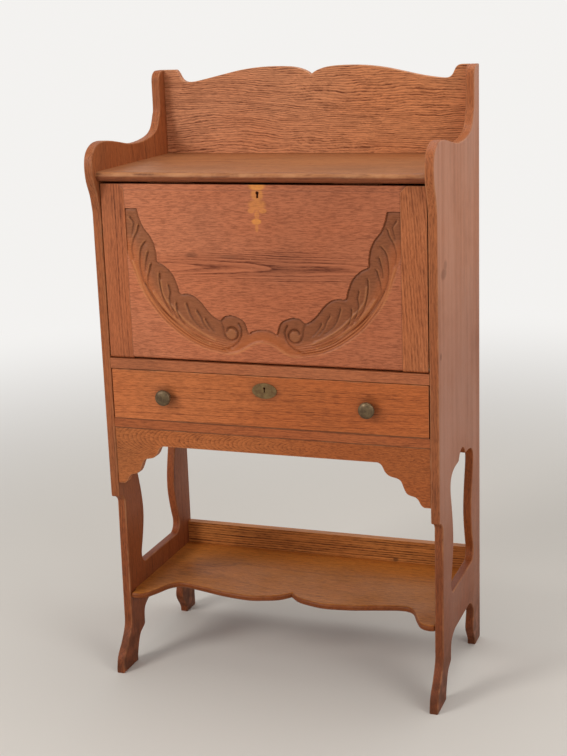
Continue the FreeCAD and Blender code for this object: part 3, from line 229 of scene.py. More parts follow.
# Each wooden finish: axis of the grain, a point of the log's heart in mm, the heart's lean in degrees about the
# pattern's Y and Z, light and dark screen colour, width of a year's growth in mm, wander in mm, contrast and roughness.
OAK_FINISHES = {
    "fall_panel": ("x", (60, -190, 876), (0.6, 0.9), (207, 127, 89), (108, 51, 28), 2.8, 2.0, 1.6, 0.42),
    "fall_left": ("z", (-560, -150, 860), (0.0, 0.3), (190, 110, 68), (94, 44, 22), 6.0, 1.4, 0.9, 0.42),
    "fall_right": ("z", (250, -130, 640), (4.6, 3.0), (192, 115, 71), (110, 54, 26), 5.4, 3.0, 0.85, 0.42),
    "gallery": ("x", (190, 300, 860), (-1.6, 3.0), (226, 154, 110), (106, 54, 29), 4.2, 14, 1.3, 0.45),
    "top_shelf": ("x", (0, 20, 900), (0.5, 1.0), (178, 117, 73), (102, 54, 30), 3.4, 4, 0.85, 0.46),
    "drawer": ("x", (-40, 60, 420), (0.6, 0.8), (207, 121, 69), (108, 50, 21), 2.6, 3, 0.6, 0.4),
    "rail": ("x", (0, 60, 900), (0.4, 0.6), (186, 110, 70), (100, 48, 26), 2.6, 2, 0.55, 0.42),
    "drawer_rail": ("x", (0, 40, 400), (0.4, 0.6), (180, 100, 56), (94, 44, 20), 2.6, 2, 0.55, 0.42),
    "apron": ("x", (-250, -95, 519), (0.0, 9.0), (192, 113, 61), (104, 50, 20), 1.5, 0.9, 0.8, 0.42),
    "side_left": ("z", (-520, 40, 600), (0.8, 0.8), (174, 102, 60), (100, 50, 24), 3.4, 5, 0.65, 0.48),
    "side_right": ("z", (620, 90, 640), (0.6, 0.8), (182, 107, 63), (98, 50, 26), 4.6, 7, 0.5, 0.5),
    "lower_shelf": ("x", (60, 10, -240), (0.6, 1.0), (197, 122, 50), (108, 58, 22), 3.2, 4, 0.4, 0.44),
    "lower_rail": ("x", (0, 184, -250), (0.2, 0.4), (214, 138, 72), (80, 38, 16), 5.6, 2, 1.3, 0.44),
    "bed": ("x", (0, 40, 560), (0.4, 1.0), (184, 114, 68), (108, 56, 30), 3.4, 4, 0.6, 0.44),
    "pigeonhole_upright": ("z", (60, -60, 800), (0.8, 1.4), (182, 116, 68), (108, 58, 30), 3.0, 4, 0.6, 0.5),
    "pigeonhole_top": ("x", (0, 90, 820), (0.6, 1.6), (182, 116, 68), (108, 58, 30), 3.2, 4, 0.6, 0.5),
    "inside_along": ("x", (0, 150, 500), (0.6, 1.8), (198, 152, 98), (132, 90, 50), 3.4, 5, 0.6, 0.68),
    "inside_deep": ("y", (40, 0, 560), (0.8, 1.2), (198, 152, 98), (132, 90, 50), 3.2, 4, 0.6, 0.68),
    "inside_tall": ("z", (40, 260, 700), (0.8, 1.6), (188, 140, 88), (122, 82, 46), 3.8, 6, 0.6, 0.7),
}

# Finishes whose faces differ by direction: part of the normal, its range, the tint, how it is laid on and its share.
# Faces of the shelves that don't look upwards are darker, a painted shade, and the right side's outer face has faded.
FACE_TINTS = {
    "top_shelf": ("Z", 0.6, -0.2, (0.6, 0.42, 0.36, 1.0), "MULTIPLY", 1.0),
    "lower_shelf": ("Z", 0.99, 0.7, (0.44, 0.3, 0.27, 1.0), "MULTIPLY", 1.0),
    "side_right": ("X", 0.6, 0.95, colour(204, 145, 118), "MIX", 0.76),
}
# Boards whose year rings are nearly alike in strength, from 0 for rings that differ to 1 for rings all the same.
EVEN_RINGS = {"fall_panel": 0.5, "fall_right": 0.6, "gallery": 0.75, "apron": 0.8, "side_right": 0.5, "lower_rail": 0.8}
# Shares of the half sizes at which an oval area of figure and an oval mark start to fade and are gone.
FIGURE_EDGE = (0.5, 1.0)
MARK_EDGE = (0.5, 1.2)
# Boards whose figure shows in one oval area: its middle and half sizes in mm, and the share that is left outside it.
FIGURE_AREAS = {
    "fall_panel": ((20, -162, 878), (290, 200, 40), 0.1),
    "apron": ((-300, -161, 519), (520, 300, 600), 0.4),
}
# Dark marks on a board, some of them painted shadow: middle in mm, half sizes in mm and strength.
MARKS_AND_SHADOWS = {
    "fall_panel": [((-141, -162, 899), (15, 60, 6), 0.45), ((-65, -162, 897), (22, 60, 4), 0.4)],
    "side_right": [((350, -119, 867), (8, 24, 12), 0.45), ((350, -106, 881), (8, 15, 11), 0.35),
                   ((350, -145, 714), (8, 5, 8), 0.75)],
    # The drawer's halos round the knobs and the keyhole plate are grime and painted shadow; its line at the bottom edge
    # and the lines on the rail and apron below are painted shadow lines in the gaps.
    "drawer": [((-212, -163, 609), (25, 30, 26), 0.5), ((212, -163, 609), (25, 30, 26), 0.5),
               ((0, -163, 632), (35, 30, 23), 0.45), ((150, -163, 557.5), (700, 60, 2.6), 0.7)],
    "drawer_rail": [((150, -161, 557), (700, 60, 2.2), 0.6), ((0, -161, 537.5), (800, 60, 1.8), 0.6)],
    "apron": [((0, -161, 537.5), (800, 60, 1.8), 0.6)],
    "lower_rail": [((165, 174, 168), (7, 8, 5), 0.8)],
}
# Painted shade on boards that grow darker along an axis: axis, where the tint starts and is full in mm, and the tint.
SHADE_FADES = {
    "apron": ("X", -150, 250, (0.8, 0.7, 0.62, 1.0)),
    "gallery": ("X", -200, 250, (1.0, 0.94, 0.8, 1.0)),
    "drawer": ("X", -270, 120, (0.86, 0.78, 0.66, 1.0)),
    "fall_panel": ("X", -250, 120, (0.82, 0.77, 0.74, 1.0)),
    "side_right": ("Z", 950, 600, (0.78, 0.77, 0.8, 1.0)),
}
# How much of the edges' wear shows, where it is not full.
EDGE_WEAR = {"lower_shelf": 0.2, "side_left": 0.55, "side_right": 0.55, "lower_rail": 0.4, "drawer": 0.6,
             "gallery": 1.3}

# Boards that take softened edges: node, width property, thickness axis of a sawn outline or None, and finish.
CASE_BOARDS = [
    ("side_panel_left", "side_arris", 0, "side_left"),
    ("side_panel_right", "side_arris", 0, "side_right"),
    ("top_shelf", "rail_arris", None, "top_shelf"),
    ("gallery_board", "board_arris", 1, "gallery"),
    ("bed_rail", "rail_arris", None, "rail"),
    ("drawer_rail", "rail_arris", None, "drawer_rail"),
    ("writing_bed", "rail_arris", None, "bed"),
    ("apron", "board_arris", 1, "apron"),
    ("lower_shelf", "shelf_arris", 2, "lower_shelf"),
    ("lower_back_rail", "rail_arris", None, "lower_rail"),
]
FALL_STILES = [
    ("fall_stile_left", "rail_arris", None, "fall_left"),
    ("fall_stile_right", "rail_arris", None, "fall_right"),
]
PIGEONHOLES = [
    ("pigeonhole_end_left", "rail_arris", None, "pigeonhole_upright"),
    ("pigeonhole_end_right", "rail_arris", None, "pigeonhole_upright"),
    ("pigeonhole_top", "rail_arris", None, "pigeonhole_top"),
    *((f"pigeonhole_divider_{number}", "rail_arris", None, "pigeonhole_upright") for number in range(1, 5)),
]
DRAWER_BOARDS = [
    ("drawer_front", "board_arris", None, "drawer"),
    ("drawer_side_left", "rail_arris", None, "inside_deep"),
    ("drawer_side_right", "rail_arris", None, "inside_deep"),
    ("drawer_back", "rail_arris", None, "inside_along"),
]
# Plain inside pieces whose CAD shape is right as it is.
PLAIN_BOARDS = {
    "inside_tall": ["back_panel"],
    "inside_along": ["drawer_bottom", "drawer_stops", "apron_glue_blocks"],
    "inside_deep": ["drawer_kicker_left", "drawer_kicker_right", "drawer_runner_left", "drawer_runner_right"],
    "rail": ["fall_stops"],
}
# Each metal: colours where it is rubbed and where it has a skin, how far the skin goes, roughness and metallic share.
METALS = {
    "bronze_patina": ("bronze", "bronze_patina", 0.5, 0.38, 0.6),
    "brass_aged": ("brass", "brass_patina", 0.5, 0.34, 1.0),
    "iron_aged": ("iron", "iron_rust", 0.45, 0.46, 1.0),
    "plate_patina": ("plate", "plate_patina", 0.5, 0.5, 0.4),
}
# Fittings whose CAD shape is right as it is.
FITTINGS = {
    "brass_aged": ["pivot_bushes", "fall_strike_plate", "stay_posts", "stay_lugs", "stay_lug_pins", "stay_arm_left",
                   "stay_arm_right", "fall_lock_bolt", "drawer_lock_bolt"],
    "iron_aged": ["gallery_screws", "back_nails", "strike_screws", "fall_pivot_pins", "fall_lock_case",
                  "fall_lock_screws", "stay_lug_screws", "knob_bolts", "drawer_lock_case", "drawer_lock_screws"],
    "plate_patina": ["drawer_escutcheon", "escutcheon_pins"],
}

# How strongly the carving's ground, stem and crests take their own colours; the crests' colour is rubbed wood and
# painted highlight.
CARVED_SHARES = {"carved": 0.66, "stem": 0.66, "crest": 0.5}
# Zones of a side in m: heights over which the legs' darkening fades, depths over which it weakens towards the rear,
# depths and heights at which the painted shade on the piercings' inner faces starts and ends, and heights over which
# the scuffs of the feet fade.
DARKENING_HEIGHT, DARKENING_DEPTH = (0.1, 0.6), (-0.05, 0.12)
REVEAL_HEIGHT, REVEAL_DEPTH = (0.55, 0.65), (-0.15, -0.1)
SCUFF_HEIGHT = (0.02, 0.16)
# Scales per m of the faded bands on the right side's outer face, and heights in m over which they come in, which leaves
# painted shade on its lower part.
BAND_SCALE, BAND_HEIGHT = (1.0, 34.0, 1.6), (0.1, 0.55)
OAK_SPECULAR = 0.24


class Web:
    """Places and joins the nodes of one tree."""

    def __init__(self, tree):
        self.tree = tree

    def join(self, source, target):
        """A link from one socket to another."""
        self.tree.links.new(source, target)

    def add(self, kind, inputs=None, **settings):
        """A new node with its settings, whose inputs are sockets to join or plain values."""
        made = self.tree.nodes.new(kind)
        for name, value in settings.items():
            setattr(made, name, value)
        for key, value in (inputs or {}).items():
            if isinstance(value, bpy.types.NodeSocket):
                self.join(value, made.inputs[key])
            else:
                made.inputs[key].default_value = value
        return made

    def sum(self, operation, first, second=0.0, third=0.0, clamp=False):
        """One step of arithmetic."""
        return self.add("ShaderNodeMath", {0: first, 1: second, 2: third}, operation=operation,
                        use_clamp=clamp).outputs[0]

    def times(self, first, *others):
        """The product of two or more values."""
        for other in others:
            first = self.sum("MULTIPLY", first, other)
        return first

    def combine(self, operation, first, second):
        """One step of arithmetic on vectors."""
        return self.add("ShaderNodeVectorMath", {0: first, 1: second}, operation=operation).outputs[0]

    def span(self, vector):
        """The length of a vector."""
        return self.add("ShaderNodeVectorMath", {0: vector}, operation="LENGTH").outputs["Value"]

    def part(self, vector, name):
        """One part of a vector."""
        return self.add("ShaderNodeSeparateXYZ", {0: vector}).outputs[name]

    def reach(self, place, middle, half):
        """Distance from the middle of an oval as a share of its half sizes, both in mm."""
        off = self.combine("SUBTRACT", place, Vector(middle) * MM)
        return self.span(self.combine("MULTIPLY", off, [1 / (size * MM) for size in half]))

    def noise(self, vector, scale=1.0, detail=2.0, roughness=0.5, output=0):
        """Soft noise, as a value from output 0 or as a colour from output 1."""
        return self.add("ShaderNodeTexNoise", {"Vector": vector, "Scale": scale, "Detail": detail,
                                               "Roughness": roughness}).outputs[output]

    def mask(self, name):
        """A mask that the mesh carries."""
        return self.add("ShaderNodeAttribute", attribute_name=name).outputs["Fac"]

    def facing(self, name):
        """One part of the surface's direction in the object's own axes."""
        return self.part(self.add("ShaderNodeTexCoord").outputs["Normal"], name)

    def ease(self, value, low, high, start=0.0, end=1.0):
        """Smooth step from start to end as the value goes from low to high."""
        return self.add("ShaderNodeMapRange", {"Value": value, "From Min": low, "From Max": high, "To Min": start,
                                               "To Max": end}, interpolation_type="SMOOTHSTEP").outputs[0]

    def mix(self, share, first, second, blend="MIX"):
        """Two colours mixed by a share."""
        return self.add("ShaderNodeMix", {0: share, 6: first, 7: second}, data_type="RGBA",
                        blend_type=blend).outputs[2]


def new_group(name, inputs, outputs):
    """An empty shader node group, as a web with the inside of both ends.

    Each input is given by its kind, or by its default where it is a plain number.
    """
    tree = bpy.data.node_groups.new(name, "ShaderNodeTree")
    for socket, given in inputs.items():
        kind = given if isinstance(given, str) else "Float"
        made = tree.interface.new_socket(socket, in_out="INPUT", socket_type=f"NodeSocket{kind}")
        if kind == "Float":
            made.default_value = given
    for socket, kind in outputs.items():
        tree.interface.new_socket(socket, in_out="OUTPUT", socket_type=f"NodeSocket{kind}")
    web = Web(tree)
    return web, web.add("NodeGroupInput").outputs, web.add("NodeGroupOutput").inputs


def oak_grain_group():
    """Year rings round a log's heart, cut by the board's surface, with pores, streaks and blotches.

    The pattern's X runs along the grain. The ring count is the distance from the wandering heart line over the
    ring width, and each ring starts with a dark row of pores that fades towards the next one.
    """
    web, given, out = new_group(
        "Oak Grain",
        {"Vector": "Vector", "Light": "Color", "Dark": "Color", "Ring Width": 0.004, "Wander": 0.006, "Contrast": 0.7,
         "Even": 0.0},
        {"Color": "Color", "Height": "Float", "Pores": "Float"})

    def marks(vector, name, **settings):
        """Noise drawn out along the grain."""
        along, across = GRAIN_SCALES[name]
        return web.noise(web.combine("MULTIPLY", vector, (along, across, across)), **settings)

    place, contrast = given["Vector"], given["Contrast"]
    wave = web.combine("SUBTRACT", marks(place, "wave", detail=5.0, output=1), (0.5, 0.5, 0.5))
    shift = web.add("ShaderNodeVectorMath", {0: wave, "Scale": given["Wander"]}, operation="SCALE").outputs[0]
    bent = web.combine("ADD", place, web.combine("MULTIPLY", shift, (0.0, 4.0, 4.0)))
    radius = web.span(web.combine("MULTIPLY", bent, (0.0, 1.0, 1.0)))
    count = web.sum("DIVIDE", radius, given["Ring Width"])
    ring, part = web.sum("FLOOR", count), web.sum("FRACT", count)
    strength = web.add("ShaderNodeTexWhiteNoise", {"W": ring}, noise_dimensions="1D").outputs["Value"]
    strength = web.sum("MULTIPLY_ADD", web.sum("POWER", strength, 1.7), 0.85, 0.15)
    strength = web.sum("MULTIPLY_ADD", web.sum("SUBTRACT", 0.6, strength), given["Even"], strength)
    fading = web.sum("POWER", web.sum("SUBTRACT", 1.0, part), 1.7)
    breaks = web.ease(marks(bent, "breaks", detail=3.0), 0.36, 0.58, 0.5, 1.0)
    band = web.times(fading, web.ease(part, 0.0, 0.12), strength, breaks, contrast)
    streaks = web.ease(marks(bent, "streaks", detail=4.0, roughness=0.7), 0.42, 0.68)
    streaks = web.times(streaks, web.sum("MULTIPLY_ADD", contrast, 0.2, 0.06))
    dashes = web.ease(marks(bent, "dashes", detail=3.0, roughness=0.7), 0.42, 0.62)
    dashed = web.sum("MAXIMUM", web.sum("MULTIPLY_ADD", contrast, -0.22, 0.48), 0.12)
    dashes = web.times(dashes, web.sum("MULTIPLY_ADD", band, 0.3, dashed))
    pores = web.ease(marks(bent, "pores"), 0.5, 0.72)
    pores = web.times(pores, web.sum("MULTIPLY_ADD", band, 0.55, 0.25))
    dark = web.sum("ADD", web.sum("ADD", band, streaks), dashes)
    dark = web.sum("MULTIPLY_ADD", pores, 0.7, dark, clamp=True)
    tone = web.mix(dark, given["Light"], given["Dark"])
    blotch = web.ease(marks(place, "blotch", detail=3.0), 0.35, 0.7, 0.0, 0.5)
    web.join(web.mix(blotch, tone, (1.0, 0.86, 0.74, 1.0), blend="MULTIPLY"), out["Color"])
    web.join(web.sum("MULTIPLY_ADD", pores, -0.8, web.times(band, -0.3)), out["Height"])
    web.join(pores, out["Pores"])
    return web.tree


def finish_and_painted_light_group():
    """Wear, grime and painted light: edges rubbed pale in patches, a painted highlight where the edge mask carries one,
    cuts and gaps darkened by old wax and painted shade, small dents and specks.
    """
    web, given, out = new_group(
        "Old Finish",
        {"Vector": "Vector", "Color": "Color", "Worn": "Color", "Grime": "Color", "Edge": 0.0, "Cavity": 0.0,
         "Pores": 0.0, "Roughness": 0.45},
        {"Color": "Color", "Roughness": "Float", "Height": "Float"})
    place, worn, grime_and_shade, cavity = (given[name] for name in ("Vector", "Worn", "Grime", "Cavity"))
    patches = web.noise(place, scale=24.0, detail=4.0, roughness=0.62)
    # The edge mask is wear, and on the top shelf also a painted highlight on the nose.
    rubbed_and_highlit = web.times(given["Edge"], web.ease(patches, 0.38, 0.68, 0.12, 0.75))
    tone = web.mix(rubbed_and_highlit, given["Color"], worn)
    specks = web.times(web.ease(web.noise(place, scale=170.0), 0.7, 0.78), web.ease(patches, 0.5, 0.7))
    tone = web.mix(web.times(specks, 0.55), tone, worn)
    haze = web.noise(place, scale=5.5, detail=4.0, roughness=0.6)
    tone = web.mix(web.ease(haze, 0.5, 0.8, 0.0, 0.22), tone, grime_and_shade)
    # The cavity mask lays the grime colour as old wax and as painted shade in cuts, gaps and recesses.
    web.join(web.mix(web.times(cavity, 0.8), tone, grime_and_shade), out["Color"])
    rough = web.sum("ADD", given["Roughness"], web.ease(haze, 0.35, 0.75, -0.05, 0.12))
    rough = web.sum("MULTIPLY_ADD", given["Pores"], 0.25, rough)
    rough = web.sum("MULTIPLY_ADD", web.sum("MAXIMUM", rubbed_and_highlit, cavity), 0.16, rough, clamp=True)
    web.join(rough, out["Roughness"])
    web.join(web.sum("SUBTRACT", web.ease(patches, 0.6, 0.8, 0.0, -0.5), specks), out["Height"])
    return web.tree


def tarnish_group():
    """Metal with a dark skin that handling has rubbed through in patches."""
    web, given, out = new_group(
        "Tarnish",
        {"Vector": "Vector", "Bright": "Color", "Skin": "Color", "Cover": 0.5, "Roughness": 0.4},
        {"Color": "Color", "Roughness": "Float", "Height": "Float"})
    cloud = web.noise(given["Vector"], scale=90.0, detail=5.0, roughness=0.65)
    fine = web.noise(given["Vector"], scale=600.0, detail=3.0)
    share = web.sum("ADD", web.ease(cloud, 0.3, 0.7), web.sum("SUBTRACT", given["Cover"], 0.5), clamp=True)
    web.join(web.mix(share, given["Bright"], given["Skin"]), out["Color"])
    rough = web.sum("MULTIPLY_ADD", share, 0.18, given["Roughness"])
    web.join(web.sum("ADD", rough, web.ease(fine, 0.3, 0.7, -0.06, 0.06), clamp=True), out["Roughness"])
    web.join(web.sum("MULTIPLY_ADD", cloud, 0.5, web.times(fine, 0.4)), out["Height"])
    return web.tree


def shared_group(name):
    """The named effect, built at its first use."""
    makers = {"Oak Grain": oak_grain_group, "Old Finish": finish_and_painted_light_group, "Tarnish": tarnish_group}
    return bpy.data.node_groups.get(name) or makers[name]()


def new_material(name):
    """A material with its surface shader in place, its web, the shader and the object's coordinates."""
    material = bpy.data.materials.new(name)
    material.use_nodes = True
    material.node_tree.nodes.clear()
    web = Web(material.node_tree)
    shader = web.add("ShaderNodeBsdfPrincipled")
    web.add("ShaderNodeOutputMaterial", {"Surface": shader.outputs[0]})
    return material, web, shader, web.add("ShaderNodeTexCoord").outputs["Object"]


def surface(web, shader, effect, height, strength, depth):
    """Gives the shader an effect's colour and roughness, and a height as a bump with its depth in mm."""
    bump = web.add("ShaderNodeBump", {"Height": height, "Strength": strength, "Distance": depth * MM})
    web.join(effect.outputs["Color"], shader.inputs["Base Color"])
    web.join(effect.outputs["Roughness"], shader.inputs["Roughness"])
    web.join(bump.outputs[0], shader.inputs["Normal"])


def carved_tone(web, tone, place):
    """The carving's browner ground, warm stem and crests of rubbed wood and painted highlight, and the speckled ghost
    of the lost plate.
    """
    looks = bpy.context.scene.escritoire_finish
    for name, share in CARVED_SHARES.items():
        tone = web.mix(web.times(web.mask(name), share), tone, getattr(looks, f"{name}_oak"))
    speckle = web.ease(web.noise(place, scale=150.0, detail=3.0), 0.3, 0.6, 0.7, 1.0)
    return web.mix(web.times(web.mask("ghost"), speckle), tone, looks.ghost)


def face_tone(web, tone, place, finish):
    """A tint on faces of one direction, such as painted shade on the shelves. One that is mixed in lies in upright
    bands and fades towards the floor, which leaves painted shade below.
    """
    part, low, high, shade, blend, share = FACE_TINTS[finish]
    laid_on = web.ease(web.facing(part), low, high, 0.0, share)
    if blend == "MIX":
        # The tint comes in with height, which leaves painted shade on the lower part.
        bands = web.noise(web.combine("MULTIPLY", place, BAND_SCALE), detail=5.0, roughness=0.65)
        laid_on = web.times(laid_on, web.ease(bands, 0.36, 0.62, 0.55, 1.0),
                            web.ease(web.part(place, "Z"), *BAND_HEIGHT, 0.25, 1.0))
    return web.mix(laid_on, tone, shade, blend=blend)


def leg_tone(web, tone, place):
    """Darkens a side's legs towards the floor, most in front, paints shade on its piercings' inner faces, and gives a
    mask of its scuffed feet.
    """
    looks = bpy.context.scene.escritoire_finish
    height, depth = web.part(place, "Z"), web.part(place, "Y")
    leg_darkening = web.times(web.ease(height, *DARKENING_HEIGHT, 0.68, 0.0), web.ease(depth, *DARKENING_DEPTH, 1.0, 0.6))
    tone = web.mix(leg_darkening, tone, looks.lower_leg_darkening, blend="MULTIPLY")
    reveal = web.times(web.ease(web.sum("ABSOLUTE", web.facing("X")), 0.7, 0.3), web.ease(depth, *REVEAL_DEPTH),
                       web.ease(height, *REVEAL_HEIGHT, 1.0, 0.0))
    scuffs = web.ease(web.noise(place, scale=40.0, detail=4.0), 0.3, 0.6)
    scuffed = web.times(web.ease(height, *SCUFF_HEIGHT, 0.8, 0.0), scuffs)
    return web.mix(reveal, tone, looks.reveal, blend="MULTIPLY"), scuffed


def oak(finish):
    """The oak of one finish, with its log laid by a Mapping node; built at its first use."""
    name = f"oak_{finish}"
    if name in bpy.data.materials:
        return bpy.data.materials[name]
    axis, heart, lean, light, dark, ring, wander, contrast, rough = OAK_FINISHES[finish]
    looks = bpy.context.scene.escritoire_finish
    material, web, shader, place = new_material(name)
    turn = Euler((0, math.radians(lean[0]), math.radians(lean[1]))).to_matrix() @ ALONG[axis].to_matrix()
    offset = turn @ (Vector(heart) * -MM)
    laid = web.add("ShaderNodeMapping", {"Vector": place, "Location": offset, "Rotation": turn.to_euler()})
    figure = contrast
    if finish in FIGURE_AREAS:
        middle, half, rest = FIGURE_AREAS[finish]
        figure = web.ease(web.reach(place, middle, half), *FIGURE_EDGE, contrast, contrast * rest)
    grain = web.add("ShaderNodeGroup", node_tree=shared_group("Oak Grain"), inputs={
        "Vector": laid.outputs[0], "Light": colour(*light), "Dark": colour(*dark), "Ring Width": ring * MM,
        "Wander": wander * MM, "Contrast": figure, "Even": EVEN_RINGS.get(finish, 0.0)})
    tone = grain.outputs["Color"]
    edge, cavity = web.times(web.mask("edge"), EDGE_WEAR.get(finish, 1.0)), web.mask("cavity")
    if finish == "fall_panel":
        tone = carved_tone(web, tone, place)
    if finish in FACE_TINTS:
        tone = face_tone(web, tone, place, finish)
    if finish == "top_shelf":
        # A painted highlight on the upper front of the top shelf's nose, laid on with the edges' wear.
        nose_highlight = web.times(web.ease(web.facing("Y"), -0.4, -0.8), web.ease(web.facing("Z"), -0.1, 0.35))
        edge = web.sum("MAXIMUM", edge, nose_highlight)
    # Painted shade that darkens the board along an axis.
    if finish in SHADE_FADES:
        part, start, full, shade = SHADE_FADES[finish]
        tone = web.mix(web.ease(web.part(place, part), start * MM, full * MM), tone, shade, blend="MULTIPLY")
    if finish.startswith("side"):
        tone, scuffed = leg_tone(web, tone, place)
        cavity = web.sum("MAXIMUM", cavity, scuffed)
    # Dark marks: stains, grime and painted shadow lines.
    for middle, half, strength in MARKS_AND_SHADOWS.get(finish, []):
        cavity = web.sum("MAXIMUM", cavity, web.ease(web.reach(place, middle, half), *MARK_EDGE, strength, 0.0))
    coat = web.add("ShaderNodeGroup", node_tree=shared_group("Old Finish"), inputs={
        "Vector": place, "Color": tone, "Worn": looks.worn_and_highlit_oak, "Grime": looks.grime_and_shade, "Edge": edge, "Cavity": cavity,
        "Pores": grain.outputs["Pores"], "Roughness": rough})
    relief = web.sum("MULTIPLY_ADD", coat.outputs["Height"], 0.5, grain.outputs["Height"])
    surface(web, shader, coat, relief, strength=0.35, depth=0.4)
    shader.inputs["Specular IOR Level"].default_value = OAK_SPECULAR
    return material


def metal(name):
    """A tarnished metal; built at its first use."""
    if name in bpy.data.materials:
        return bpy.data.materials[name]
    bright, skin, cover, rough, metallic = METALS[name]
    looks = bpy.context.scene.escritoire_finish
    material, web, shader, place = new_material(name)
    skinned = web.add("ShaderNodeGroup", node_tree=shared_group("Tarnish"), inputs={
        "Vector": place, "Bright": getattr(looks, bright), "Skin": getattr(looks, skin), "Cover": cover,
        "Roughness": rough})
    surface(web, shader, skinned, skinned.outputs["Height"], strength=0.25, depth=0.2)
    shader.inputs["Metallic"].default_value = metallic
    return material


def dress_nodes(table, maker):
    """Gives the CAD nodes of a table, listed by finish, that finish in every slot."""
    for finish, nodes in table.items():
        for node in nodes:
            slots = frame["nodes"][node].material_slots
            if not slots:
                raise RuntimeError(f"{node} has no material slot")
            for slot in slots:
                slot.material = maker(finish)


def place_piece(name, mesh, material, body, slot, *nodes):
    """Puts a finished mesh into the scene as a piece that rides on a body and stands for its CAD nodes."""
    mesh.materials.clear()
    mesh.materials.append(material)
    piece = bpy.data.objects.new(name, mesh)
    bpy.context.scene.collection.objects.link(piece)
    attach(piece, body)
    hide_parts(*nodes)
    return piece


def soften(mesh):
    """Smooth shading that stops at sharp edges."""
    mesh.polygons.foreach_set("use_smooth", np.ones(len(mesh.polygons), bool))
    mesh.set_sharp_from_angle(angle=SOFT_ANGLE)


def turn_outwards(mesh):
    """Points all faces of a closed mesh outwards."""
    form = bmesh.new()
    form.from_mesh(mesh)
    bmesh.ops.recalc_face_normals(form, faces=form.faces)
    form.to_mesh(mesh)
    form.free()


def flat_normals(piece):
    """Lets large faces keep their own normal beside narrow softened edges."""
    weighted = piece.modifiers.new("Flat Faces", "WEIGHTED_NORMAL")
    weighted.keep_sharp = True


def rims(form, axis):
    """Places of a board's points, and which of them lie on its low and its high face."""
    form.verts.index_update()
    form.verts.ensure_lookup_table()
    places = np.array([vertex.co for vertex in form.verts])
    on_low = np.abs(places[:, axis] - places[:, axis].min()) < MERGE_GAP
    on_high = np.abs(places[:, axis] - places[:, axis].max()) < MERGE_GAP
    return places, on_low, on_high


def islands(form):
    """A number for each point that is the same for all points joined by edges: the lowest number spreads."""
    ends = np.array([[vertex.index for vertex in edge.verts] for edge in form.edges])
    labels, before = np.arange(len(form.verts)), None
    while before is None or (labels != before).any():
        before = labels.copy()
        lowest = labels[ends].min(1)
        np.minimum.at(labels, ends[:, 0], lowest)
        np.minimum.at(labels, ends[:, 1], lowest)
    return labels, ends


def plain_walls(form, axis):
    """Rebuilds each curved wall of a sawn board as plain faces from rim to rim, without points between them.

    In the CAD mesh each surface is an island. A curved wall is an island with points between the board's two faces
    and with three or more points on each of them, which have the same places on both.
    """
    places, on_low, on_high = rims(form, axis)
    labels, ends = islands(form)
    flat = np.delete(places, axis, 1)
    between = ~(on_low | on_high)
    spare, quads = [], []
    for label in np.unique(labels[between]):
        here = labels == label
        low, high = np.flatnonzero(here & on_low), np.flatnonzero(here & on_high)
        if len(low) < 3 or len(low) != len(high):
            continue
        gap = np.abs(flat[low][:, None] - flat[high][None]).max(-1)
        if gap.min(1).max() > PAIR_GAP:
            continue
        partner = dict(zip(low.tolist(), high[gap.argmin(1)].tolist()))
        rim_ends = ends[(here & on_low)[ends].all(1)]
        quads += [(first, second, partner[second], partner[first]) for first, second in rim_ends.tolist()]
        spare += np.flatnonzero(here).tolist()
    gone = {face for index in spare for face in form.verts[index].link_faces}
    corners = [[form.verts[index] for index in quad] for quad in quads]
    loose = [form.verts[index] for index in spare if between[index]]
    bmesh.ops.delete(form, geom=list(gone), context="FACES_ONLY")
    for quad in corners:
        form.faces.new(quad)
    bmesh.ops.delete(form, geom=loose, context="VERTS")
    bmesh.ops.delete(form, geom=[edge for edge in form.edges if not edge.link_faces], context="EDGES")


def outline_edges(form, axis):
    """Edges of a sawn outline: both ends lie on one face of the board, beside a wall that reaches the other face.

    The test skips housings, which are cut into one face only.
    """
    places, on_low, on_high = rims(form, axis)
    chosen = []
    for edge in form.edges:
        ends = [vertex.index for vertex in edge.verts]
        if not (on_low[ends].all() or on_high[ends].all()) or edge.calc_face_angle_signed(0.0) < ARRIS_ANGLE:
            continue
        beside = [[vertex.index for vertex in face.verts] for face in edge.link_faces]
        if any(on_low[corners].any() and on_high[corners].any() for corners in beside):
            chosen.append(edge)
    return chosen


def long_convex_edges(form):
    """Outer edges of a plain board, without those of small holes."""
    return [edge for edge in form.edges
            if edge.calc_face_angle_signed(0.0) > ARRIS_ANGLE and edge.calc_length() > SHORT_EDGE]


def softened_board(node, width, axis, finish):
    """A board as a copy of its CAD mesh, made whole, with its edges rounded and marked for wear."""
    source = frame["nodes"][node]
    form = bmesh.new()
    form.from_mesh(source.data)
    if axis is not None:
        plain_walls(form, axis)
    bmesh.ops.remove_doubles(form, verts=form.verts, dist=MERGE_GAP)
    bmesh.ops.recalc_face_normals(form, faces=form.faces)
    bmesh.ops.dissolve_limit(form, angle_limit=FLAT_ANGLE, verts=form.verts, edges=form.edges)
    edges = long_convex_edges(form) if axis is None else outline_edges(form, axis)
    worn = form.faces.layers.float.new("edge")
    rounded = bmesh.ops.bevel(form, geom=edges, offset=width, offset_type="OFFSET", segments=3, profile=0.5,
                              affect="EDGES", clamp_overlap=False)
    for face in rounded["faces"]:
        face[worn] = 1.0
    mesh = bpy.data.meshes.new(f"{node}_board")
    form.to_mesh(mesh)
    form.free()
    soften(mesh)
    slot = "oak_inside" if finish.startswith("inside") else "oak"
    flat_normals(place_piece(f"{node}_board", mesh, oak(finish), source["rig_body"], slot, node))


def soften_boards(context, boards):
    """Softens and finishes the boards of a list."""
    sizes = context.scene.escritoire_sizes
    for node, width, axis, finish in boards:
        softened_board(node, getattr(sizes, width), axis, finish)


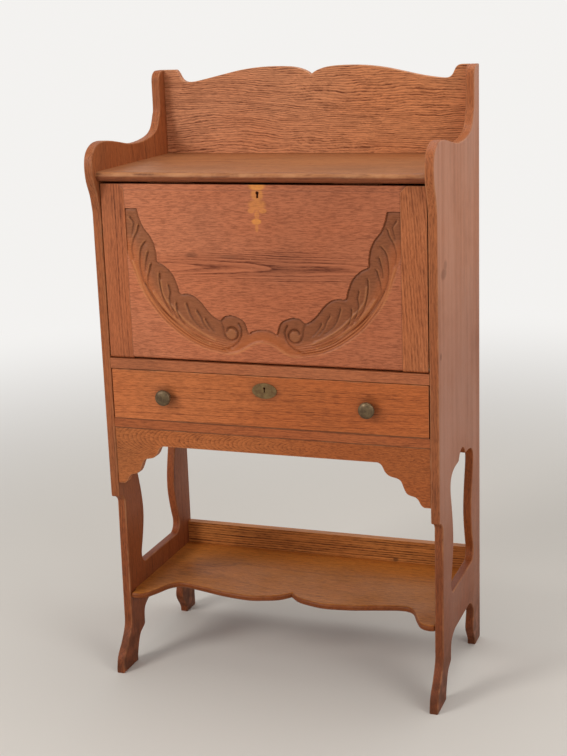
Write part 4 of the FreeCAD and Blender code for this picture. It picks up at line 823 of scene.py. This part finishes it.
def smooth_line(points, steps=5):
    """Line through measured points: each span is a cubic whose ends take the slope between their neighbours."""
    line = np.array(points, float)
    line = np.vstack([2 * line[0] - line[1], line, 2 * line[-1] - line[-2]])
    before, start, end, after = line[:-3], line[1:-2], line[2:-1], line[3:]
    share = np.linspace(0, 1, steps, endpoint=False)[:, None, None]
    spans = 0.5 * (2 * start + (end - before) * share + (2 * before - 5 * start + 4 * end - after) * share ** 2
                   + (3 * start - before - 3 * end + after) * share ** 3)
    return np.vstack([spans.transpose(1, 0, 2).reshape(-1, 2), line[-2]])


def line_distance(across, up, line):
    """Distance of each point from a line, the side it lies on and how far along the line it is, from 0 to 1."""
    steps = np.diff(line, axis=0)
    lengths = np.hypot(*steps.T)
    runs = np.concatenate([[0], np.cumsum(lengths)])
    nearest = np.full(across.shape, np.inf)
    side = np.zeros(across.shape)
    along = np.zeros(across.shape)
    for (start, step, length, run) in zip(line, steps, lengths, runs):
        share = np.clip(((across - start[0]) * step[0] + (up - start[1]) * step[1]) / length ** 2, 0, 1)
        off = across - start[0] - share * step[0], up - start[1] - share * step[1]
        gap = np.hypot(*off)
        closer = gap < nearest
        nearest = np.where(closer, gap, nearest)
        side = np.where(closer, np.sign(step[0] * off[1] - step[1] * off[0]), side)
        along = np.where(closer, (run + share * length) / runs[-1], along)
    return nearest, side, along


def inside_outline(across, up, outline):
    """True for points inside a closed outline: a line to the right of the point crosses it an odd number of times."""
    crossed = np.zeros(across.shape, bool)
    for first, second in zip(outline, np.roll(outline, -1, 0)):
        spans = (first[1] > up) != (second[1] > up)
        rise = second[1] - first[1] or 1.0
        crossed ^= spans & (across < first[0] + (up - first[1]) * (second[0] - first[0]) / rise)
    return crossed


def bell(gap, width):
    """A bell curve over the distance from a line: one on the line, and about a third at the width."""
    return np.exp(-(gap / width) ** 2)


def vee(gap, width):
    """A straight-sided cut over the distance from a line: one on the line, and nothing from the width on."""
    return np.clip(1 - gap / width, 0, 1)


def swag_relief(across, up, sizes):
    """Height of the carved swag at distances from the middle and heights in mm, with its masks, which paint shade in
    its cuts and highlight on its ridges.

    The leaves lie a little below the face. A channel of full depth runs inside the rim, and the ground rises to
    the face in a hollow curve along the foot. Strands run along the stem in step with the distance from the foot,
    and lie closer towards the scroll. Veins are cut with one steep and one gentle flank and fade along their
    length, ridges are raised along the stem, and each scroll has a round eye in a spiral groove.
    """
    rim, foot = smooth_line(SWAG_RIM, steps=4), smooth_line(SWAG_FOOT, steps=4)
    inside = inside_outline(across, up, np.vstack([rim, foot]))
    to_rim = line_distance(across, up, rim)[0]
    to_foot, _, along_foot = line_distance(across, up, foot)
    depth, leaf, vein_depth, ridge = (
        value / MM for value in (sizes.carving_depth, sizes.leaf_depth, sizes.vein_depth, sizes.ridge_height))
    channel = bell(to_rim, RIM_CHANNEL)
    rise = 1 - vee(to_foot, FOOT_RISE) ** 2
    ground = (leaf + (depth - leaf) * channel) * rise
    cut, shade, lit, crest = (np.zeros(across.shape) for mask in range(4))
    for vein in VEINS:
        gap, side, along = line_distance(across, up, smooth_line(vein))
        flank = np.where(side > 0, VEIN_STEEP, VEIN_GENTLE)
        fade = 1 - VEIN_FADE * along
        cut = np.maximum(cut, vein_depth * np.exp(-(gap / flank) ** VEIN_POWER) * fade)
        shade = np.maximum(shade, bell(gap, VEIN_LINE) * fade)
        # A painted highlight along the lit side of each vein.
        lit = np.maximum(lit, bell(gap - 2 * VEIN_LINE, VEIN_LINE) * (side > 0) * (1 - along))
    for groove in SCROLL_GROOVES:
        gap, _, along = line_distance(across, up, smooth_line(groove))
        cut = np.maximum(cut, vein_depth * bell(gap, SCROLL_GROOVE_WIDTH) * (1 - GROOVE_FADE * along))
        shade = np.maximum(shade, CARVING_SHADE["groove"] * bell(gap, VEIN_LINE) * (1 - VEIN_FADE * along))
    for line in STEM_RIDGES:
        crest = np.maximum(crest, bell(line_distance(across, up, smooth_line(line))[0], RIDGE_WIDTH))
    from_eye = np.hypot(across - SCROLL_EYE[0], up - SCROLL_EYE[1]) / SCROLL_EYE_RADIUS
    eye = leaf * np.sqrt(np.clip(1 - from_eye ** 2, 0, 1))
    stem = np.where(inside, vee(to_foot - STEM_FADE[0], STEM_FADE[1] - STEM_FADE[0]) * rise, 0.0)
    strand = np.cos(2 * math.pi * to_foot / (STRAND_SPACING * (1 - STRAND_TAPER * along_foot))) * stem
    strand = strand * np.clip((along_foot - STRAND_START) / STRAND_START_RUN, 0, 1)
    strand = strand * np.clip((STRAND_END - along_foot) / STRAND_END_RUN, 0, 1)
    raised = ridge * crest + eye + STRAND_HEIGHT * strand
    relief = np.where(inside, np.minimum(raised - ground - cut, 0.0), 0.0)
    shade = np.maximum(shade, CARVING_SHADE["strand"] * np.clip(-strand, 0, 1))
    # The cavity mask is painted shade in the lines, the strands' troughs and the channel inside the rim.
    cavity = np.where(inside, np.clip(CARVING_SHADE["line"] * shade + CARVING_SHADE["channel"] * channel * rise, 0, 1), 0.0)
    carved = np.where(inside, rise, 0.0) * (1 - stem)
    edge = bell(to_foot, FOOT_EDGE) * (across < FOOT_LINE_END)
    # The crests' mask is rubbed wood with painted highlight on the raised parts, and painted highlight alone beside the
    # veins.
    crest = (RUBBED_AND_LIT["ridge"] * crest + RUBBED_AND_LIT["vein"] * lit + RUBBED_AND_LIT["strand"] * np.clip(strand, 0, 1)
             + RUBBED_AND_LIT["eye"] * (eye > 0.5 * leaf))
    crest = np.maximum(np.clip(crest, 0, 1) * inside, RUBBED_AND_LIT["foot"] * edge) * (1 - cavity)
    return relief, {"carved": carved, "stem": stem, "cavity": cavity, "crest": crest}


def plate_ghost(across, up):
    """Mask of the lost keyhole plate: a head under the top edge, a waist round the keyhole, a wide foot and a tail.

    Each part is an oval, and the mask fades over its edge.
    """
    mask = np.zeros(across.shape)
    for middle, height, half_width, half_height, strength in GHOST_OVALS:
        reach = np.hypot((across - middle) / half_width, (up - height) / half_height)
        mask = np.maximum(mask, strength * vee(reach - GHOST_EDGE, GHOST_EDGE_RUN))
    return mask


def keyhole_inside(across, up, eye_height, radius, slot_width, slot_length):
    """True inside a round eye with a slot below it."""
    eye = np.hypot(across, up - eye_height) < radius
    slot = (np.abs(across) < slot_width / 2) & (up < eye_height) & (up > eye_height - slot_length)
    return eye | slot


def spread(places, steps):
    """Even places from each given place to the next, about that stretch's step apart."""
    stretches = zip(places, places[1:], steps)
    return np.unique(np.concatenate([
        np.linspace(low, high, max(2, int(round((high - low) / step)) + 1)) for low, high, step in stretches]))


class ESCRITOIRE_OT_case_boards(bpy.types.Operator):
    """Softens and finishes the boards of the case"""

    bl_idname = "escritoire.case_boards"
    bl_label = "Case Boards"

    def execute(self, context):
        soften_boards(context, CASE_BOARDS)
        return {"FINISHED"}


class ESCRITOIRE_OT_fall_stiles(bpy.types.Operator):
    """Softens and finishes the two stiles that clamp the fall"""

    bl_idname = "escritoire.fall_stiles"
    bl_label = "Fall Stiles"

    def execute(self, context):
        soften_boards(context, FALL_STILES)
        return {"FINISHED"}


class ESCRITOIRE_OT_fall_panel(bpy.types.Operator):
    """Carves the fall's wide board with its swag, keyhole and joint lines"""

    bl_idname = "escritoire.fall_panel"
    bl_label = "Carved Fall Panel"

    # Sizes in mm. The key's slot is its width and length, and its zone is half a width and the reach below and above.
    # A line's depth is a share of the joint's, shades are shares of the full grime and painted shade, and a block
    # counts cells of the grid.
    ear_height = 12.0
    lower_round = 6.5
    round_rows = 8
    recess_half = 30.0
    recess_height = 40.0
    recess_depth = 12.0
    key_drop = 15.5
    key_radius = 3.3
    key_slot = (4.2, 9.5)
    key_depth = 7.8
    key_step = 0.45
    key_zone = (6.0, 12.0, 5.0)
    top_line_drop = 11.0
    top_line_width = 1.2
    top_line_depth = 0.6
    top_line_shade = 0.42
    joint_width = 1.6
    joint_shade_width = 1.4
    joint_shade = 0.55
    block = 12
    grid_gap = 0.01
    plain_limit = 1e-4

    def execute(self, context):
        sizes = context.scene.escritoire_sizes
        low, high = (np.array(corner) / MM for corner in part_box("fall_panel"))
        stile, key_up = high[0] - self.ear_height, high[2] - self.key_drop
        columns, up, out = self.grid_lines(low, high, stile, key_up, sizes.carving_step / MM)
        across, height = np.meshgrid(columns, up)
        relief, masks = self.carved_face(across, height, high[2], stile, key_up, sizes)
        ear = np.clip(height - (high[2] - self.ear_height), 0, None)
        shown = np.where(np.abs(across) > stile - self.grid_gap, np.sign(across) * (stile + ear), across)
        front = np.stack([shown, out[:, None] - relief, height], -1)
        plain = np.abs(relief) + sum(masks.values()) < self.plain_limit
        plain[:self.round_rows] = False
        mesh = self.closed_panel(front, high[1], plain, masks)
        turn_outwards(mesh)
        soften(mesh)
        flat_normals(place_piece("fall_panel_carved", mesh, oak("fall_panel"), "fall", "oak", "fall_panel"))
        return {"FINISHED"}

    def grid_lines(self, low, high, stile, key_up, step):
        """Columns and rows of the front's grid, closer round the keyhole, and how far out each row lies.

        The lowest rows follow a quarter circle from the underside to the front.
        """
        half, below, above = self.key_zone
        columns = spread([0, half, self.recess_half, stile], [self.key_step, step, step])
        rows = spread([low[2] + self.lower_round, key_up - below, key_up + above, high[2]], [step, self.key_step, step])
        turn = np.linspace(math.pi / 2, 0, self.round_rows, endpoint=False)
        up = np.concatenate([low[2] + self.lower_round * (1 - np.sin(turn)), rows])
        out = np.concatenate([low[1] + self.lower_round * (1 - np.cos(turn)), np.full(len(rows), low[1])])
        return np.concatenate([-columns[:0:-1], columns]), up, out

    def carved_face(self, across, height, top, stile, key_up, sizes):
        """Relief and masks of the whole front: the mirrored swag, the joint lines and the keyhole."""
        right = across[0] >= 0
        relief, masks = swag_relief(across[:, right], height[:, right], sizes)
        relief = self.mirrored(relief)
        masks = {name: self.mirrored(half) for name, half in masks.items()}
        edge_gap = stile - np.abs(across)
        top_line = vee(np.abs(height - (top - self.top_line_drop)), self.top_line_width)
        relief = relief - sizes.joint_vee / MM * (vee(edge_gap, self.joint_width) + self.top_line_depth * top_line)
        cavity = np.maximum(self.joint_shade * vee(edge_gap, self.joint_shade_width), self.top_line_shade * top_line)
        pit = keyhole_inside(across, height, key_up, self.key_radius, *self.key_slot)
        # The keyhole is filled with painted shade.
        masks["cavity"] = np.where(pit, 1.0, np.maximum(masks["cavity"], cavity))
        masks["ghost"] = np.where(pit, 0.0, plate_ghost(across, height))
        return np.where(pit, -self.key_depth, relief), masks

    def mirrored(self, half):
        """Both halves of a pattern from its right half, whose first column is the middle."""
        return np.hstack([half[:, :0:-1], half])

    def grid_faces(self, index, plain):
        """Faces of the grid: its cells where there is detail, and one face for each block of plain cells."""
        cells = np.stack([index[:-1, :-1], index[:-1, 1:], index[1:, 1:], index[1:, :-1]], -1)
        whole = plain[:-1, :-1] & plain[:-1, 1:] & plain[1:, 1:] & plain[1:, :-1]
        faces = []
        for row in range(0, cells.shape[0], self.block):
            for column in range(0, cells.shape[1], self.block):
                area = slice(row, row + self.block), slice(column, column + self.block)
                if whole[area].all():
                    part = index[row:row + self.block + 1, column:column + self.block + 1]
                    faces.append(np.concatenate([part[0], part[1:, -1], part[-1, -2::-1], part[-2:0:-1, 0]]).tolist())
                else:
                    faces += cells[area].reshape(-1, 4).tolist()
        return faces

    def closed_panel(self, front, back, plain, masks):
        """Mesh of the front grid, rims square to it and a flat back with the lock's recess open at the top."""
        rows, columns = front.shape[:2]
        index = np.arange(rows * columns).reshape(rows, columns)
        loop = np.concatenate([index[0, :], index[1:, -1], index[-1, -2::-1], index[-2:0:-1, 0]])
        points = front.reshape(-1, 3)
        rim = points[loop].copy()
        on_top = np.isin(loop, index[-1])
        in_recess = on_top & (np.abs(rim[:, 0]) <= self.recess_half + self.grid_gap)
        rim[:, 1] = np.where(in_recess, back - self.recess_depth, back)
        rim_index = rows * columns + np.arange(len(loop))
        after = np.roll(np.arange(len(loop)), -1)
        first, last = np.flatnonzero(in_recess)[[0, -1]]
        top, bottom = rim[first, 2], rim[first, 2] - self.recess_height
        floor, wall = back - self.recess_depth, back
        corners = np.array([[self.recess_half, wall, top], [self.recess_half, wall, bottom],
                            [-self.recess_half, wall, bottom], [-self.recess_half, wall, top],
                            [self.recess_half, floor, bottom], [-self.recess_half, floor, bottom]])
        base = rim_index[-1] + 1
        right_top, right_low, left_low, left_top, right_deep, left_deep = range(base, base + 6)
        sides = np.stack([loop, rim_index, rim_index[after], loop[after]], -1)
        plain_side = in_recess == in_recess[after]
        right_side, left_side = sides[~plain_side].tolist()
        faces = self.grid_faces(index, plain) + sides[plain_side].tolist()
        faces += [[*right_side[:2], right_top, *right_side[2:]], [*left_side[:2], left_top, *left_side[2:]]]
        back_loop = [*rim_index[:first], right_top, right_low, left_low, left_top, *rim_index[last + 1:]]
        faces.append(back_loop[::-1])
        faces.append([right_deep, left_deep, *rim_index[last:first - 1:-1]][::-1])
        faces.append([right_top, rim_index[first], right_deep, right_low])
        faces.append([left_low, left_deep, rim_index[last], left_top])
        faces.append([right_low, right_deep, left_deep, left_low])
        points = np.vstack([points, rim, corners]) * MM
        used, fresh = np.unique(np.concatenate([np.array(face, int) for face in faces]), return_inverse=True)
        bounds = np.cumsum([len(face) for face in faces])[:-1]
        mesh = bpy.data.meshes.new("fall_panel_carved")
        mesh.from_pydata(points[used].tolist(), [], [part.tolist() for part in np.split(fresh, bounds)])
        for name, values in masks.items():
            whole = np.zeros(len(points), np.float32)
            whole[:values.size] = values.ravel()
            mesh.attributes.new(name, "FLOAT", "POINT").data.foreach_set("value", whole[used])
        return mesh


class ESCRITOIRE_OT_pigeonholes(bpy.types.Operator):
    """Softens and finishes the pigeonholes behind the fall"""

    bl_idname = "escritoire.pigeonholes"
    bl_label = "Pigeonholes"

    def execute(self, context):
        soften_boards(context, PIGEONHOLES)
        return {"FINISHED"}


class ESCRITOIRE_OT_drawer_boards(bpy.types.Operator):
    """Softens and finishes the boards of the drawer"""

    bl_idname = "escritoire.drawer_boards"
    bl_label = "Drawer Boards"

    def execute(self, context):
        soften_boards(context, DRAWER_BOARDS)
        return {"FINISHED"}


class ESCRITOIRE_OT_knobs(bpy.types.Operator):
    """Turns the two drawer knobs"""

    bl_idname = "escritoire.knobs"
    bl_label = "Drawer Knobs"

    turns = 64

    def execute(self, context):
        for side in ("left", "right"):
            self.turned_knob(f"drawer_knob_{side}")
        return {"FINISHED"}

    def turned_knob(self, node):
        """A profile of radius and reach carried round the knob's axis, which points forwards."""
        low, high = (np.array(corner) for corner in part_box(node))
        middle = (low + high) / 2
        radius, reach = (high[0] - low[0]) / 2, high[1] - low[1]
        profile = smooth_line(KNOB_PROFILE, steps=6)[:-1]
        profile[:, 0] = np.clip(profile[:, 0], 0.0, 1.0)
        angle = np.linspace(0, 2 * math.pi, self.turns, endpoint=False)
        ring = profile[:, 0, None] * radius
        points = np.stack([middle[0] + ring * np.cos(angle),
                           np.broadcast_to(high[1] - profile[:, 1, None] * reach, (len(profile), self.turns)),
                           middle[2] + ring * np.sin(angle)], -1).reshape(-1, 3)
        index = np.arange(len(points)).reshape(len(profile), self.turns)
        beside = np.roll(index, -1, 1)
        quads = np.stack([index[:-1], beside[:-1], beside[1:], index[1:]], -1).reshape(-1, 4).tolist()
        tip = len(points)
        points = np.vstack([points, [middle[0], low[1], middle[2]]])
        caps = np.stack([index[-1], beside[-1], np.full(self.turns, tip)], -1).tolist()
        mesh = bpy.data.meshes.new(f"{node}_turned")
        mesh.from_pydata(points.tolist(), [], quads + caps + [index[0, ::-1].tolist()])
        turn_outwards(mesh)
        soften(mesh)
        place_piece(f"{node}_turned", mesh, metal("bronze_patina"), frame["nodes"][node]["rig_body"], "bronze", node)


class ESCRITOIRE_OT_fittings(bpy.types.Operator):
    """Gives brass, iron and the keyhole plate's metal to the fittings whose CAD shape is right"""

    bl_idname = "escritoire.fittings"
    bl_label = "Fittings"

    def execute(self, context):
        dress_nodes(FITTINGS, metal)
        return {"FINISHED"}


class ESCRITOIRE_OT_plain_boards(bpy.types.Operator):
    """Gives unstained oak to the inside boards whose CAD shape is right"""

    bl_idname = "escritoire.plain_boards"
    bl_label = "Inside Boards"

    def execute(self, context):
        dress_nodes(PLAIN_BOARDS, oak)
        return {"FINISHED"}


class ESCRITOIRE_OT_stage(bpy.types.Operator):
    """Sets the pale floor, the soft lights and the camera"""

    bl_idname = "escritoire.stage"
    bl_label = "Studio"

    floor_size = 40.0
    floor_fade = (0.9, 3.6)
    sky = (1.0, 0.985, 0.965, 1.0)
    sky_level = 0.9
    world_light = 0.42
    lamps = [("Key", (-2.3, -2.8, 2.5), 1.5, 62.0), ("Fill", (3.0, -1.7, 1.9), 2.0, 32.0),
             ("Top", (0.3, 0.4, 3.2), 2.0, 24.0)]
    lamp_colour = (1.0, 0.97, 0.93)
    aim = (0.0, 0.0, 0.7)
    camera_place = (0.9886, -2.7355, 1.3650)
    camera_turn = (20.2306, 14.3942, -2.0626)
    focal_length = 69.32
    sensor = 36.0

    def execute(self, context):
        self.lay_floor(context)
        self.light(context)
        self.set_camera(context)
        return {"FINISHED"}

    def lay_floor(self, context):
        """A flat square under the desk, from a two by two grid of its corners."""
        half = self.floor_size / 2
        corners = np.array([(-half, -half, 0), (half, -half, 0), (half, half, 0), (-half, half, 0)])
        mesh = bpy.data.meshes.new("studio_floor")
        mesh.from_pydata(corners.tolist(), [], [(0, 1, 2, 3)])
        material, web, shader, place = new_material("studio_floor")
        clouds = web.ease(web.noise(place, scale=3.0, detail=3.0), 0.3, 0.7, 0.0, 0.06)
        pale = tuple(context.scene.escritoire_finish.floor)
        dull = (*(0.9 * part for part in pale[:3]), 1.0)
        web.join(web.mix(clouds, pale, dull), shader.inputs["Base Color"])
        shader.inputs["Roughness"].default_value = 0.7
        fade = web.times(web.ease(web.span(place), *self.floor_fade),
                         web.add("ShaderNodeLightPath").outputs["Is Camera Ray"])
        sky = web.add("ShaderNodeEmission", {"Color": self.sky, "Strength": self.sky_level})
        joined = web.add("ShaderNodeMixShader", {0: fade, 1: shader.outputs[0], 2: sky.outputs[0]})
        end = next(node for node in web.tree.nodes if node.type == "OUTPUT_MATERIAL")
        web.join(joined.outputs[0], end.inputs["Surface"])
        mesh.materials.append(material)
        floor = bpy.data.objects.new("studio_floor", mesh)
        context.scene.collection.objects.link(floor)

    def light(self, context):
        """A pale world that is white to the camera and to gloss, and three soft lamps."""
        world = bpy.data.worlds.new("Studio")
        world.use_nodes = True
        world.node_tree.nodes.clear()
        web = Web(world.node_tree)
        path = web.add("ShaderNodeLightPath")
        seen = web.sum("MAXIMUM", path.outputs["Is Camera Ray"], path.outputs["Is Glossy Ray"])
        level = web.add("ShaderNodeMapRange", {"Value": seen, "To Min": self.world_light, "To Max": self.sky_level})
        sky = web.add("ShaderNodeBackground", {"Color": self.sky, "Strength": level.outputs[0]})
        web.add("ShaderNodeOutputWorld", {"Surface": sky.outputs[0]})
        context.scene.world = world
        for name, place, size, power in self.lamps:
            lamp = bpy.data.lights.new(name, "AREA")
            lamp.shape, lamp.size, lamp.energy = "DISK", size, power
            lamp.color = self.lamp_colour
            stand = bpy.data.objects.new(name, lamp)
            stand.location = place
            stand.rotation_euler = (Vector(self.aim) - Vector(place)).to_track_quat("-Z", "Y").to_euler()
            context.scene.collection.objects.link(stand)

    def set_camera(self, context):
        """Camera from its place, yaw, pitch and roll: it looks along +Y turned by the yaw, down by the pitch."""
        yaw, pitch, roll = (math.radians(angle) for angle in self.camera_turn)
        ahead = Vector((-math.sin(yaw) * math.cos(pitch), math.cos(yaw) * math.cos(pitch), -math.sin(pitch)))
        level = Vector((math.cos(yaw), math.sin(yaw), 0))
        above = level.cross(ahead)
        right = math.cos(roll) * level + math.sin(roll) * above
        upward = -math.sin(roll) * level + math.cos(roll) * above
        lens = bpy.data.cameras.new("Camera")
        lens.lens, lens.sensor_width = self.focal_length, self.sensor
        camera = bpy.data.objects.new("Camera", lens)
        turn = Matrix((right, upward, -ahead)).transposed()
        camera.matrix_world = Matrix.Translation(self.camera_place) @ turn.to_4x4()
        context.scene.collection.objects.link(camera)
        context.scene.camera = camera


STEPS = [ESCRITOIRE_OT_case_boards, ESCRITOIRE_OT_fall_stiles, ESCRITOIRE_OT_fall_panel, ESCRITOIRE_OT_pigeonholes,
         ESCRITOIRE_OT_drawer_boards, ESCRITOIRE_OT_knobs, ESCRITOIRE_OT_fittings, ESCRITOIRE_OT_plain_boards,
         ESCRITOIRE_OT_stage]


class ESCRITOIRE_PT_panel(bpy.types.Panel):
    """Sizes, colours and steps of the escritoire"""

    bl_idname = "ESCRITOIRE_PT_panel"
    bl_label = "Escritoire"
    bl_space_type = "VIEW_3D"
    bl_region_type = "UI"
    bl_category = "Escritoire"

    def draw(self, context):
        for group in (context.scene.escritoire_sizes, context.scene.escritoire_finish):
            for name in group.__annotations__:
                self.layout.prop(group, name)
        for step in STEPS:
            self.layout.operator(step.bl_idname)


CLASSES = [EscritoireSizes, EscritoireFinish, *STEPS, ESCRITOIRE_PT_panel]


def register():
    for kind in CLASSES:
        bpy.utils.register_class(kind)
    bpy.types.Scene.escritoire_sizes = bpy.props.PointerProperty(type=EscritoireSizes)
    bpy.types.Scene.escritoire_finish = bpy.props.PointerProperty(type=EscritoireFinish)


def unregister():
    del bpy.types.Scene.escritoire_finish
    del bpy.types.Scene.escritoire_sizes
    for kind in reversed(CLASSES):
        bpy.utils.unregister_class(kind)


def main():
    """Builds every step in order."""
    register()
    bpy.context.scene.view_settings.view_transform = "Standard"
    for step in STEPS:
        group, name = step.bl_idname.split(".")
        getattr(getattr(bpy.ops, group), name)()


if __name__ == "__main__":
    main()
